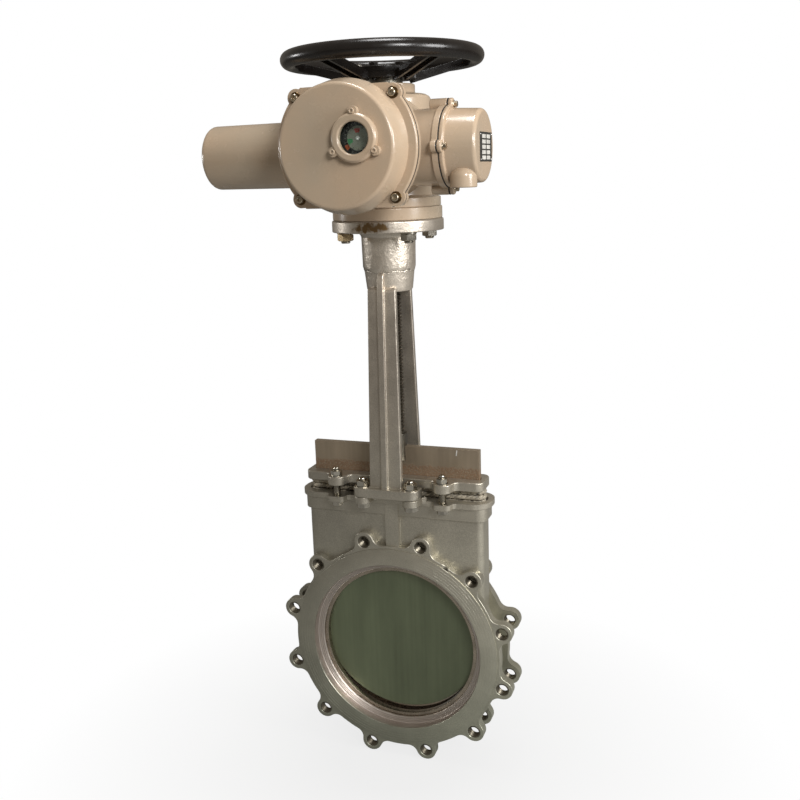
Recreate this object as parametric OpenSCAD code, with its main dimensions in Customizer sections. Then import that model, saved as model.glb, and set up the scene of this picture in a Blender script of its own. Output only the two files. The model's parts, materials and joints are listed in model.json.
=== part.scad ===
/* [Flanges] */
// Distance between the two raised faces
face_to_face = 78; // [74:1:96]
// Height of each raised face above its lugs
raised_h = 2; // [1:0.5:3]
// Diameter of each raised face
raised_d = 370; // [364:1:374]
// Diameter of the flange ring that the lugs stand on
ring_d = 380; // [376:1:384]
// Thickness of each lug plate
lug_t = 17; // [14:1:19]
// Pitch circle of the lug holes
lug_pcd = 400; // [398:1:404]
// Radius of each lug
lug_r = 18; // [16:0.5:20]
// Radius of the fillet between a lug and the ring
lug_fillet = 16; // [10:1:20]
// Diameter of each tapped lug hole
lug_hole_d = 21; // [16:0.5:24]
// Depth of the four blind holes on each side of the chest
blind_depth = 25; // [18:1:28]

/* [Bore] */
// Diameter of the bore at each face
mouth_d = 310; // [304:1:316]
// Depth of the wide mouth of the bore
mouth_depth = 17; // [12:1:20]
// Diameter of the bore behind the mouth
throat_d = 286; // [282:1:292]
// Clear diameter through the seat rings
seat_d = 274; // [268:1:278]
// Outside diameter of each seat ring
seat_od = 296; // [294:1:300]
// Depth of each seat ring along the bore
seat_depth = 11; // [8:1:11]
// Outside diameter of the barrel between the lug plates
barrel_d = 344; // [338:1:352]

/* [Gate] */
// Width of the gate plate
gate_w = 299; // [290:1:300]
// Thickness of the gate plate
gate_t = 12; // [10:1:14]
// Height of the gate's rounded centre above the bore's axis, as the valve stands
gate_lift = 22; // [10:1:30]
// How far the gate shows above the gland when it is shut
gate_show = 50; // [48:1:62]
// Gap between the gate and what guides it
gate_gap = 0.3; // [0.2:0.1:0.5]
// Gap between the gate's edge and the slot in the body
slot_gap = 2.5; // [1.5:0.5:4]

/* [Chest] */
// Width of the chest
chest_w = 318; // [314:1:322]
// Depth of the chest from front to back
chest_depth = 48; // [44:1:50]
// Height of the chest's upper ledge above the bore's axis
chest_top = 245; // [240:1:250]
// Corner radius of the chest
chest_r = 11; // [6:1:16]
// Width of the upright rib on the chest
rib_w = 24; // [14:1:28]
// How far the upright rib stands out
rib_out = 8; // [5:1:10]

/* [Stuffing box] */
// How much wider than the chest the stuffing box is on each side
box_step = 6; // [4:1:7]
// Height of the lip's top face above the bore's axis
lip_top = 278; // [274:1:282]
// Thickness of the lip
lip_t = 10; // [8:1:14]
// How far the lip overhangs the stuffing box at each end
lip_over = 7; // [5:1:12]
// How far the lip overhangs the stuffing box at the front and back
lip_over_y = 6; // [4:1:7]
// Width of packing on each side of the gate
packing_w = 11; // [9:0.5:12]
// Depth of the packing chamber below the lip
chamber_depth = 40; // [30:1:44]
// Height of packing that stands above the lip
packing_proud = 19; // [14:1:22]
// Clearance of the packing in its chamber
packing_gap = 0.3; // [0.2:0.1:0.5]

/* [Gland] */
// Width of the gland frame
gland_w = 321; // [316:1:332]
// Depth of the gland frame from front to back
gland_depth = 56; // [50:1:60]
// Thickness of the gland frame
gland_t = 16; // [12:1:20]
// Corner radius of the gland frame
gland_r = 14; // [8:1:20]
// Distance from the centre to each gland bolt, across the valve
gland_bolt_x = 95; // [90:1:110]
// Distance from the mid plane to each gland bolt, along the bore
gland_bolt_y = 41; // [41:0.5:43]
// Width of each gland lug
gland_lug_w = 32; // [28:1:38]
// Distance from each gland bolt to the end of its lug
gland_lug_end = 12; // [11:0.5:14]
// Radius of the fillet beside each gland lug
gland_fillet = 11; // [4:1:11]
// Nominal thread diameter of the gland bolts
gland_bolt_d = 12; // [10:1:14]

/* [Yoke] */
// Width of each yoke foot
foot_w = 116; // [112:1:120]
// Thickness of each yoke foot
foot_t = 17; // [11:1:20]
// Distance from the mid plane to the front of each foot
foot_reach = 66; // [64:1:70]
// Distance from the mid plane to the back of each foot
foot_back = 35; // [34:1:37]
// Distance from the centre to each foot bolt, across the valve
foot_bolt_x = 43; // [40:1:45]
// Distance from the mid plane to each foot bolt, along the bore
foot_bolt_y = 52; // [50:1:54]
// Nominal thread diameter of the foot bolts
foot_bolt_d = 14; // [12:1:16]
// Radius of the body's lugs and the feet round each foot bolt
pad_r = 14; // [13:0.5:15]
// Height of the body's lugs under the feet
pad_t = 11; // [9:1:16]
// Height of the foot lugs' top face above the lip
pad_rise = 6.5; // [5:0.5:10]
// Width of each leg at its foot
leg_w_low = 57; // [50:1:62]
// Width of each leg at the neck
leg_w_high = 48; // [44:1:54]
// Thickness of each leg
leg_t = 10; // [8:1:12]
// Distance from the mid plane to each leg's outer face, at the foot
leg_out_low = 56; // [54:1:58]
// Distance from the mid plane to each leg's outer face, at the neck
leg_out_high = 43; // [42:1:46]
// Width of the rib down each leg
leg_rib_w = 10; // [6:1:12]
// How far the rib stands out from its leg
leg_rib_out = 6; // [4:1:8]
// Height of the yoke's top flange above the bore's axis
yoke_top = 745; // [740:1:756]
// Height of the whole neck
neck_h = 116; // [110:1:117]
// Height of the upper neck
collar_h = 81; // [76:1:86]
// Diameter of the lower neck at its top
neck_d = 82; // [80:1:86]
// Diameter of the lower neck at its underside
neck_low_d = 76; // [72:1:80]
// Diameter of the upper neck
collar_d = 89; // [87:1:94]
// Diameter of the yoke's top flange
yoke_flange_d = 182; // [180:1:186]
// Thickness of the yoke's top flange
yoke_flange_t = 19; // [16:1:22]
// Pitch circle of the top flange bolts
yoke_pcd = 151; // [146:1:153]
// Nominal thread diameter of the top flange bolts
yoke_bolt_d = 16; // [14:1:18]

/* [Stem] */
// Outside diameter of the stem's thread
stem_d = 36; // [32:1:38]
// Height of the stem's top end above the yoke's top flange
stem_reach = 155; // [135:5:195]
// Radial running clearance round the stem
stem_gap = 0.06; // [0.04:0.01:0.08]
// Diameter of the clevis that joins the stem to the gate
clevis_d = 42; // [40:1:44]
// Height of the clevis above the gate's top edge
clevis_rise = 22; // [20:1:23]
// Depth of the clevis below the gate's top edge
clevis_drop = 25; // [22:1:27]
// Diameter of the clevis pin
clevis_pin_d = 14; // [10:1:16]
// Length of the bush in the neck
bush_len = 30; // [24:1:34]
// Wall of the bush in the neck
bush_wall = 6; // [5:0.5:8]

/* [Actuator base] */
// Diameter of the actuator's base plate
base_d = 178; // [176:1:184]
// Thickness of the actuator's base plate
base_t = 19; // [16:1:22]
// Diameter of the housing's lower ring
base_ring_d = 174; // [170:1:178]
// Thickness of the housing's lower ring
base_ring_t = 15; // [12:1:17]

/* [Gear housing] */
// Diameter of the upright gear housing
housing_d = 150; // [148:1:156]
// Height of the housing's shoulder above the yoke's top flange
housing_h = 191; // [188:1:196]
// Diameter of the boss below the handwheel
top_boss_d = 100; // [94:1:106]
// Height of the boss below the handwheel
top_boss_h = 16; // [10:1:18]
// Depth of the control cover's centre below the housing's shoulder
cover_drop = 81; // [79:1:83]
// Distance of the control cover's centre to the right of the stem's axis
cover_x = 2; // [0:0.5:4]
// Diameter of the control drum behind its flange
drum_d = 176; // [172:1:182]
// Distance from the stem's axis to the drum's flange face
drum_reach = 161; // [157:1:165]
// Width of the drum's flange
drum_flange_d = 218; // [214:1:220]
// Height of the drum's flange between its flat edges
drum_flange_h = 172; // [168:1:176]
// Thickness of the drum's flange
drum_flange_t = 10; // [8:1:12]
// Distance from the cover's centre to each cover screw, across the valve
cover_screw_x = 75; // [74:0.5:77]
// Distance from the cover's centre to each cover screw, upright
cover_screw_z = 72; // [71:0.5:74]
// Radius of each cover lug
cover_lug_r = 13; // [11:0.5:14]
// Wall thickness of the housing
housing_wall = 8; // [7:0.5:9]

/* [Control cover] */
// Depth of the control cover
cover_depth = 47; // [43:1:50]
// Thickness of the control cover's flange
cover_flange_t = 8; // [6:1:10]
// Diameter of the cover's side wall at its flange
cover_d = 192; // [188:1:196]
// Diameter of the cover's flat face
cover_face_d = 178; // [174:1:182]
// Wall thickness of the cover
cover_wall = 5; // [4:0.5:6]
// Thickness of the cover's gasket
gasket_t = 1; // [0.8:0.1:1.5]
// Distance of the sight glass to the right of the cover's centre
sight_x = 32; // [28:1:34]
// Height of the sight glass above the cover's centre
sight_z = 11; // [8:1:14]
// Diameter of the sight glass
glass_d = 50; // [46:1:52]
// Thickness of the sight glass
glass_t = 8; // [6:0.5:9]
// Diameter of the bezel round the sight glass
bezel_d = 68; // [66:1:70]
// How far the bezel stands out from the cover
bezel_h = 12; // [10:1:14]
// Radius at which the bezel screws sit
bezel_screw_r = 36; // [35:0.5:38]
// Radius of each bezel lug
bezel_lug_r = 7; // [6:0.5:8]
// Height of each bezel lug
bezel_lug_h = 10; // [8:0.5:11]

/* [Motor] */
// Diameter of the motor housing
motor_d = 100; // [98:1:104]
// Distance from the stem's axis to the motor's far end
motor_reach = 272; // [266:1:290]
// Distance from the stem's axis to the motor's flange
motor_seat = 104; // [102:1:108]
// Distance from the stem's axis forward to the worm's axis
worm_offset = 66; // [64:1:68]
// Depth of the motor's axis below the housing's shoulder
motor_drop = 87; // [85:1:89]
// Diameter of the motor's mounting flange
motor_flange_d = 126; // [124:1:130]
// Radius at which the motor screws sit
motor_screw_r = 56; // [55:0.5:57]
// Diameter of the motor shaft
motor_shaft_d = 18; // [16:1:20]
// Diameter of the worm
worm_d = 28; // [26:1:30]
// Number of teeth on the worm wheel
wheel_teeth = 30; // [24:1:32]

/* [Terminal box] */
// Distance from the stem's axis forward to the box's axis
box_offset = 81; // [79:1:83]
// Depth of the box's axis below the housing's shoulder
box_drop = 84; // [82:1:86]
// Distance from the stem's axis to the neck's flange face
box_seat = 131; // [128:1:134]
// Diameter of the box's neck
box_neck_d = 112; // [108:1:114]
// Diameter of the box's flange
box_flange_d = 120; // [118:1:122]
// Thickness of the box cover's flange
box_flange_t = 7; // [6:0.5:9]
// Length of the long lugs on the neck
box_lug_len = 27; // [18:1:30]
// Distance from the stem's axis to the box cover's end face
box_reach = 185; // [182:1:188]
// Diameter of the box cover's end face
box_face_d = 106; // [102:1:108]
// Radius at which the box screws sit
box_screw_r = 60.5; // [60:0.5:62]
// Diameter of the conduit boss
conduit_d = 40; // [36:1:41]
// Diameter of the conduit entry
conduit_hole_d = 25; // [20:1:27]

/* [Handwheel] */
// Diameter of the handwheel at the middle of its rim
wheel_d = 294; // [284:1:300]
// Thickness of the rim
rim_d = 26; // [22:1:28]
// Height of the rim's middle above the boss
wheel_rise = 40; // [37:1:46]
// Number of spokes
spoke_n = 5; // [3:1:6]
// Width of each spoke
spoke_w = 24; // [20:1:28]
// Depth of each spoke's side walls
spoke_h = 12; // [10:1:14]
// Diameter of the wheel's centre plate
hub_plate_d = 104; // [98:1:108]
// Diameter of the drive sleeve that the wheel sits on
sleeve_d = 62; // [60:1:64]

/* [Hidden] */
$fn = 64;
eps = 0.01;
through = 400;

mid = face_to_face / 2;
lug_n = 12;
lug_step = 360 / lug_n;
blind_angles = [-45, -15, 15, 45];
open_angles = [75, 105, 135, 165, 195, 225, 255, 285];

ring_r = ring_d / 2;
fillet_reach = ring_r + lug_fillet;
lug_pitch_r = lug_pcd / 2;
lug_to_fillet = lug_r + lug_fillet;
fillet_turn = acos((pow(fillet_reach, 2) + pow(lug_pitch_r, 2) - pow(lug_to_fillet, 2))
    / (2 * fillet_reach * lug_pitch_r));
lug_turn = atan2(fillet_reach * sin(fillet_turn), lug_pitch_r - fillet_reach * cos(fillet_turn));

slot_half_t = gate_t / 2 + 2 * gate_gap;
slot_half_w = gate_w / 2 + slot_gap;
seat_front = mid - gate_t / 2 - gate_gap - seat_depth;

chest_y = chest_depth / 2;
box_half_w = chest_w / 2 + box_step;
box_half_y = chest_y + box_step;
lip_half_w = box_half_w + lip_over;
lip_half_y = box_half_y + lip_over_y;
chamber_half_w = gate_w / 2 + gate_gap + packing_w + packing_gap;
chamber_half_y = gate_t / 2 + gate_gap + packing_w + packing_gap;
chamber_bottom = lip_top - chamber_depth;
packing_top = lip_top + packing_proud;
gland_top = packing_top + gland_t;
gate_top = gland_top + gate_show;

pad_top = lip_top + pad_rise;
foot_top = pad_top + foot_t;
gland_ear_r = gland_lug_w / 2 - 2;
lip_ear_r = 9;
lip_fillet = 8;
leg_overlap = 8;
leg_chamfer = 4;
bolt_gap = 0.5;

nut_share = 0.8;
head_share = 0.65;
across_corners = 1.73;
washer_t = 2.5;

neck_bottom = yoke_top - neck_h;
shoulder_z = yoke_top - collar_h;
stem_top = yoke_top + stem_reach;
yoke_flange_z = yoke_top - yoke_flange_t;
clevis_top = gate_top + clevis_rise;
clevis_bottom = gate_top - clevis_drop;
clevis_pin_z = gate_top - clevis_drop / 2;
stem_foot = gate_top + 5;
neck_cavity_r = clevis_d / 2 + 5;
neck_cavity_top = shoulder_z;
bush_r = stem_d / 2 + stem_gap + bush_wall;
bush_bottom = neck_cavity_top + 6;

base_top = yoke_top + base_t;
ring_top = base_top + base_ring_t;
shoulder_top = yoke_top + housing_h;
boss_top = shoulder_top + top_boss_h;
cover_z = shoulder_top - cover_drop;
motor_z = shoulder_top - motor_drop;
box_z = shoulder_top - box_drop;
wheel_z = boss_top + wheel_rise;
drum_y = mid - drum_reach;
motor_y = mid - worm_offset;
box_y = mid - box_offset;

sleeve_r = sleeve_d / 2;
sleeve_bottom = base_top + 4;
sleeve_top = boss_top + 28;
sleeve_bore_r = stem_d / 2 + 3;
nut_r = stem_d / 2 + 8;
nut_len = 56;
bearing_w = 14;
bearing_h = 16;
bearing_gap = 0.05;
low_bearing_z = ring_top + 4;
high_bearing_z = shoulder_top - 12 - bearing_h;

worm_r = worm_d / 2;
wheel_tip_r = worm_offset - worm_r - 0.5;
wheel_half_h = 13;
tooth_depth = 6;

cover_back = drum_y - gasket_t;
cover_front = cover_back - cover_depth;
cover_round = 6;
sight_cx = cover_x + sight_x;
sight_cz = cover_z + sight_z;
disc_y = cover_front + 10;
disc_r = 17;
dial_y = disc_y + 4;
plate_y = drum_y + 6;

motor_wall = 5;
motor_round = 10;
motor_room = 28;
rotor_r = 27;
air_gap = 0.5;
winding_far = 44;
winding_near = 34;
core_inset = 6;

box_cover_x = box_seat + gasket_t;
box_inner_r = box_neck_d / 2 - housing_wall;
block_w = 22;
block_t = 24;
block_h = 60;
conduit_dome = 16;
conduit_x = box_cover_x + box_flange_t + conduit_d / 2 + 2;
conduit_y = box_y - 31;
conduit_z = box_z - box_flange_d / 2 + 1;
conduit_len = 32;
plate_w = 66;
plate_h = 42;
plate_shift = 6;

hub_z = boss_top + 4;
hub_t = 20;
plate_t = 7;
spoke_in = hub_plate_d / 2 - 6;
spoke_low = hub_z + 8;
spoke_slope = atan2(wheel_z - spoke_low, wheel_d / 2 - spoke_in);
spoke_len = (wheel_d / 2 - spoke_in) / cos(spoke_slope);

// Points of an arc about c, with angles measured clockwise from straight up
function arc(c, r, from, to, n) =
    [for (i = [0:n]) let (a = from + (to - from) * i / n) c + r * [sin(a), cos(a)]];

// One point turned clockwise by t
function turned(p, t) = [p[0] * cos(t) + p[1] * sin(t), -p[0] * sin(t) + p[1] * cos(t)];

// One lug with the fillet on each side of it, pointing straight up
function lug_points() = concat(
    arc([-fillet_reach * sin(fillet_turn), fillet_reach * cos(fillet_turn)],
        lug_fillet, 180 - fillet_turn, lug_turn, 5),
    arc([0, lug_pitch_r], lug_r, lug_turn - 180, 180 - lug_turn, 12),
    arc([fillet_reach * sin(fillet_turn), fillet_reach * cos(fillet_turn)],
        lug_fillet, -lug_turn, fillet_turn - 180, 5));

// Whole outline of a lug plate: lugs, fillets and the ring between them
function plate_points() = [for (i = [0:lug_n - 1]) let (t = lug_step * (i + 0.5))
    each concat([for (p = lug_points()) turned(p, t)],
        arc([0, 0], ring_r, t + fillet_turn + 2, t + lug_step - fillet_turn - 2, 3))];

// Extrudes a front view, drawn in X and Z, from y0 to y1
module along_y(y0, y1) {
    translate([0, y1, 0]) rotate([90, 0, 0]) linear_extrude(y1 - y0) children();
}

// Round bar along Y
module bar_y(x, z, r, y0, y1) {
    translate([x, y1, z]) rotate([90, 0, 0]) cylinder(r = r, h = y1 - y0);
}

// Round bar along X
module bar_x(y, z, r, x0, x1) {
    translate([x0, y, z]) rotate([0, 90, 0]) cylinder(r = r, h = x1 - x0);
}

// Upright round bar
module bar_z(x, y, r, z0, z1) {
    translate([x, y, z0]) cylinder(r = r, h = z1 - z0);
}

// The children as they are and mirrored to the back of the valve
module both_faces() {
    children();
    translate([0, face_to_face, 0]) mirror([0, 1, 0]) children();
}

// Rectangle with round corners, centred
module round_rect(w, h, r) {
    square([w - 2 * r, h], center = true);
    square([w, h - 2 * r], center = true);
    for (x = [-1, 1], y = [-1, 1]) translate([x * (w / 2 - r), y * (h / 2 - r)]) circle(r = r);
}

// Upright block with round corners, centred on the stem's axis
module block(half_w, half_y, r, z0, z1) {
    translate([0, mid, z0]) linear_extrude(z1 - z0) round_rect(2 * half_w, 2 * half_y, r);
}

// Places the children at each gland bolt
module at_gland_bolts() {
    for (x = [-1, 1], y = [-1, 1]) translate([x * gland_bolt_x, mid + y * gland_bolt_y, 0]) children();
}

// Places the children at each foot bolt
module at_foot_bolts() {
    for (x = [-1, 1], y = [-1, 1]) translate([x * foot_bolt_x, mid + y * foot_bolt_y, 0]) children();
}

// Places the children at each bolt of the yoke's top flange
module at_flange_bolts() {
    for (a = [45:90:315]) translate([0, mid, 0]) rotate(a) translate([yoke_pcd / 2, 0, 0]) children();
}

// Upright hexagonal nut or bolt head
module hex(d, z, h) {
    translate([0, 0, z]) cylinder(d = d * across_corners, h = h, $fn = 6);
}

// Outline of a lug of width w that stands out from a straight edge, with corners r and fillets f
function ear_points(w, reach, r, f) = concat(
    [[-w / 2 - f, -3]],
    arc([-w / 2 - f, f], f, 180, 90, 4),
    arc([-w / 2 + r, reach - r], r, -90, 0, 4),
    arc([w / 2 - r, reach - r], r, 0, 90, 4),
    arc([w / 2 + f, f], f, -90, -180, 4),
    [[w / 2 + f, -3]]);

// Four lugs at x from the centre that stand out from an edge as far as end from the mid plane
module ears(x, w, edge, end, r, f, z0, h) {
    for (side = [-1, 1], turn = [0, 180])
        translate([side * x, mid, z0]) rotate(turn) translate([0, edge, 0]) linear_extrude(h)
            polygon(ear_points(w, end - edge, r, f));
}

// Lugs on the lip or the gland frame, one at each gland bolt
module gland_ears(edge, r, f, z0, h) {
    ears(gland_bolt_x, gland_lug_w, edge, gland_bolt_y + gland_lug_end, r, f, z0, h);
}

module body_shell() {
    both_faces() {
        along_y(raised_h, raised_h + lug_t) polygon(plate_points());
        along_y(0, raised_h + eps) circle(d = raised_d, $fn = 128);
        translate([-rib_w / 2, mid - chest_y - rib_out, raised_d / 2 - 10])
            cube([rib_w, rib_out + 2, lip_top - lip_t + 2 - raised_d / 2 + 10]);
    }
    bar_y(0, 0, barrel_d / 2, raised_h + 1, face_to_face - raised_h - 1);
    block(chest_w / 2, chest_y, chest_r, 0, chest_top + 1);
    block(box_half_w, box_half_y, chest_r + box_step, chest_top, lip_top - lip_t + 1);
    block(lip_half_w, lip_half_y, lip_half_y - 4, lip_top - lip_t, lip_top);
    gland_ears(lip_half_y, lip_ear_r, lip_fillet, lip_top - lip_t, lip_t);
    ears(foot_bolt_x, 2 * pad_r, lip_half_y, foot_bolt_y + pad_r, pad_r, lip_fillet, pad_top - pad_t, pad_t);
}

module body_casting() {
    color("lightgray") difference() {
        body_shell();
        both_faces() {
            bar_y(0, 0, mouth_d / 2, -1, mouth_depth);
            bar_y(0, 0, throat_d / 2, -1, mid);
            bar_y(0, 0, seat_od / 2 + gate_gap, seat_front, mid);
            for (a = blind_angles)
                bar_y(lug_pitch_r * sin(a), lug_pitch_r * cos(a), lug_hole_d / 2, -1, raised_h + blind_depth);
            for (a = open_angles)
                bar_y(lug_pitch_r * sin(a), lug_pitch_r * cos(a), lug_hole_d / 2, -1, raised_h + lug_t + 1);
        }
        bar_y(0, 0, slot_half_w, mid - slot_half_t, mid + slot_half_t);
        translate([-slot_half_w, mid - slot_half_t, 0]) cube([2 * slot_half_w, 2 * slot_half_t, through]);
        block(chamber_half_w, chamber_half_y, chamber_half_y - 3, chamber_bottom, through);
        at_gland_bolts() bar_z(0, 0, gland_bolt_d / 2 + bolt_gap, 0, through);
        at_foot_bolts() bar_z(0, 0, foot_bolt_d / 2 + bolt_gap, chest_top, through);
    }
}

module seat_rings() {
    color("dimgray") both_faces() difference() {
        bar_y(0, 0, seat_od / 2, seat_front, seat_front + seat_depth);
        bar_y(0, 0, seat_d / 2, -1, mid);
    }
}

module packing() {
    color("darkkhaki") difference() {
        block(chamber_half_w - packing_gap, chamber_half_y - packing_gap, chamber_half_y - 3,
            chamber_bottom, packing_top);
        block(gate_w / 2 + gate_gap, gate_t / 2 + gate_gap, 1, 0, through);
    }
}

module gland_follower() {
    color("silver") difference() {
        union() {
            block(gland_w / 2, gland_depth / 2, gland_r, packing_top, gland_top);
            gland_ears(gland_depth / 2, gland_ear_r, gland_fillet, packing_top, gland_t);
        }
        block(gate_w / 2 + 2 * gate_gap, gate_t / 2 + 2 * gate_gap, 1, 0, through);
        at_gland_bolts() bar_z(0, 0, gland_bolt_d / 2 + bolt_gap, 0, through);
    }
}

module gland_bolts() {
    head = head_share * gland_bolt_d;
    ear_bottom = lip_top - lip_t;
    color("gainsboro") at_gland_bolts() {
        hex(gland_bolt_d, ear_bottom - head, head);
        bar_z(0, 0, gland_bolt_d / 2, ear_bottom - eps, gland_top + nut_share * gland_bolt_d + 5);
    }
}

module gland_nuts() {
    color("gainsboro") at_gland_bolts() difference() {
        hex(gland_bolt_d, gland_top, nut_share * gland_bolt_d);
        bar_z(0, 0, gland_bolt_d / 2 + 0.05, 0, through);
    }
}

// One splayed leg with its rib and foot, at the front of the valve
module leg() {
    low = foot_top - 2;
    high = neck_bottom + leg_overlap;
    rib_high = shoulder_z - 4;
    rib_round = leg_rib_out;
    intersection() {
        translate([-leg_w_low, 0, 0]) rotate([90, 0, 90]) linear_extrude(2 * leg_w_low) polygon([
            [mid - leg_out_low, low], [mid - leg_out_high, high - leg_chamfer],
            [mid - leg_out_high + leg_chamfer, high],
            [mid - leg_out_high + leg_t, high], [mid - leg_out_low + leg_t, low]]);
        along_y(mid - 2 * leg_out_low, mid) polygon([
            [-leg_w_low / 2, low], [-leg_w_high / 2, high], [leg_w_high / 2, high], [leg_w_low / 2, low]]);
    }
    translate([-leg_rib_w / 2, 0, 0]) rotate([90, 0, 90]) linear_extrude(leg_rib_w) polygon([
        [mid - leg_out_low - leg_rib_out, low], [mid - leg_out_high - leg_rib_out, high],
        [mid - neck_d / 2 - leg_rib_out, rib_high - rib_round],
        [mid - neck_d / 2 - leg_rib_out + rib_round * sin(30), rib_high - rib_round * (1 - cos(30))],
        [mid - neck_d / 2, rib_high], [mid - neck_low_d / 2 + 3, rib_high], [mid - leg_out_low + 1, low]]);
    difference() {
        translate([0, mid, pad_top]) rotate(180) linear_extrude(foot_t) polygon(concat(
            [[-foot_w / 2, foot_back]],
            arc([-foot_w / 2 + pad_r, foot_reach - pad_r], pad_r, -90, 0, 4),
            arc([foot_w / 2 - pad_r, foot_reach - pad_r], pad_r, 0, 90, 4),
            [[foot_w / 2, foot_back]]));
        for (x = [-1, 1])
            bar_z(x * foot_bolt_x, mid - foot_bolt_y, foot_bolt_d / 2 + bolt_gap, 0, through);
    }
}

module yoke() {
    color("silver") difference() {
        union() {
            both_faces() leg();
            translate([0, mid, 0]) rotate_extrude() polygon([
                [0, neck_bottom], [neck_low_d / 2 - 2, neck_bottom], [neck_low_d / 2, neck_bottom + 3],
                [neck_d / 2, shoulder_z - 4], [collar_d / 2 - 2, shoulder_z + 1], [collar_d / 2 - 1, shoulder_z + 5],
                [collar_d / 2, yoke_flange_z - 8], [collar_d / 2 + 6, yoke_flange_z],
                [yoke_flange_d / 2 - 1, yoke_flange_z], [yoke_flange_d / 2, yoke_flange_z + 1],
                [yoke_flange_d / 2, yoke_top], [0, yoke_top]]);
        }
        bar_z(0, mid, neck_cavity_r, 0, neck_cavity_top);
        bar_z(0, mid, bush_r + 0.05, 0, yoke_top + 1);
        bar_z(0, mid, bush_r + 4, bush_bottom + bush_len, yoke_top + 1);
        translate([0, 0, yoke_flange_z - 20]) at_flange_bolts() cylinder(d = yoke_bolt_d + 2 * bolt_gap, h = 60);
    }
}

module foot_bolts() {
    head = head_share * foot_bolt_d;
    under = pad_top - pad_t;
    color("gainsboro") at_foot_bolts() {
        hex(foot_bolt_d, under - head, head);
        bar_z(0, 0, foot_bolt_d / 2, under - eps, foot_top + nut_share * foot_bolt_d + 4);
    }
}

module foot_nuts() {
    color("gainsboro") at_foot_bolts() difference() {
        hex(foot_bolt_d, foot_top, nut_share * foot_bolt_d);
        bar_z(0, 0, foot_bolt_d / 2 + 0.05, 0, through);
    }
}

module stem_bush() {
    top = bush_bottom + bush_len;
    color("peru") difference() {
        union() {
            bar_z(0, mid, bush_r, bush_bottom, top);
            bar_z(0, mid, bush_r + 3, top, top + 4);
        }
        bar_z(0, mid, stem_d / 2 + stem_gap, bush_bottom - 1, top + 5);
    }
}

module flange_studs() {
    color("gainsboro") at_flange_bolts()
        bar_z(0, 0, yoke_bolt_d / 2, yoke_flange_z - nut_share * yoke_bolt_d - 4, base_top - 4);
}

module flange_nuts() {
    h = nut_share * yoke_bolt_d;
    color("gainsboro") at_flange_bolts() difference() {
        hex(yoke_bolt_d * 0.95, yoke_flange_z - h, h);
        bar_z(0, 0, yoke_bolt_d / 2 + 0.05, yoke_flange_z - h - 1, yoke_flange_z + 1);
    }
}

module gate() {
    color("lightslategray") difference() {
        union() {
            bar_y(0, gate_lift, gate_w / 2, mid - gate_t / 2, mid + gate_t / 2);
            translate([-gate_w / 2, mid - gate_t / 2, gate_lift]) cube([gate_w, gate_t, gate_top - gate_lift]);
        }
        bar_y(0, clevis_pin_z, clevis_pin_d / 2 + 0.05, 0, face_to_face);
    }
}

module stem_clevis() {
    color("gray") difference() {
        bar_z(0, mid, clevis_d / 2, clevis_bottom, clevis_top);
        translate([-clevis_d, mid - gate_t / 2 - 0.1, clevis_bottom - 1])
            cube([2 * clevis_d, gate_t + 0.2, gate_top - clevis_bottom + 1]);
        bar_y(0, clevis_pin_z, clevis_pin_d / 2 + 0.05, 0, face_to_face);
        bar_z(0, mid, stem_d / 2 + 0.05, stem_foot, clevis_top + 1);
    }
}

module clevis_pin() {
    color("gainsboro")
        bar_y(0, clevis_pin_z, clevis_pin_d / 2, mid - clevis_d / 2 - 2, mid + clevis_d / 2 + 2);
}

module stem() {
    color("silver") translate([0, mid, 0]) rotate_extrude() polygon([
        [0, stem_foot], [stem_d / 2, stem_foot], [stem_d / 2, stem_top - 3],
        [stem_d / 2 - 3, stem_top], [0, stem_top]]);
}

module base_plate() {
    color("tan") difference() {
        translate([0, mid, 0]) rotate_extrude() polygon([
            [sleeve_bore_r, yoke_top], [base_d / 2 - 1, yoke_top], [base_d / 2, yoke_top + 1],
            [base_d / 2, base_top - 1], [base_d / 2 - 1, base_top], [sleeve_bore_r, base_top]]);
        translate([0, 0, yoke_top - 1]) at_flange_bolts() cylinder(d = yoke_bolt_d + 0.1, h = base_t - 1);
        translate([0, 0, yoke_top - 1]) rotate_about_stem(45) at_flange_bolts()
            cylinder(d = 10.5, h = base_t + 2);
    }
}

// Turns the children about the stem's axis
module rotate_about_stem(a) {
    translate([0, mid, 0]) rotate(a) translate([0, -mid, 0]) children();
}

module base_screws() {
    color("dimgray") rotate_about_stem(45) at_flange_bolts() {
        bar_z(0, 0, 5, yoke_top + 6, base_top + 11);
        bar_z(0, 0, 5.2, yoke_top + 0.5, yoke_top + 6 + eps);
    }
}

// Outer form of the upright part of the housing
module housing_tower() {
    translate([0, mid, 0]) rotate_extrude() polygon([
        [0, base_top], [base_ring_d / 2, base_top], [base_ring_d / 2, ring_top - 1],
        [base_ring_d / 2 - 1, ring_top], [housing_d / 2, ring_top + 3], [housing_d / 2, shoulder_top - 8],
        [housing_d / 2 - 2.5, shoulder_top - 3], [housing_d / 2 - 8, shoulder_top],
        [top_boss_d / 2 + 4, shoulder_top], [top_boss_d / 2, shoulder_top + 4],
        [top_boss_d / 2, boss_top - 1], [top_boss_d / 2 - 1, boss_top], [0, boss_top]]);
}

// Places the children at each cover screw
module at_cover_screws() {
    for (x = [-1, 1], z = [-1, 1])
        translate([cover_x + x * cover_screw_x, 0, cover_z + z * cover_screw_z]) children();
}

// Flange of the drum or the control cover: a round plate cut flat above and below, with four lugs
module cover_plate(y0, y1) {
    translate([cover_x, 0, cover_z]) along_y(y0, y1) intersection() {
        circle(d = drum_flange_d);
        square([drum_flange_d + 2, drum_flange_h], center = true);
    }
    at_cover_screws() bar_y(0, 0, cover_lug_r, y0, y1);
}

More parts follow.
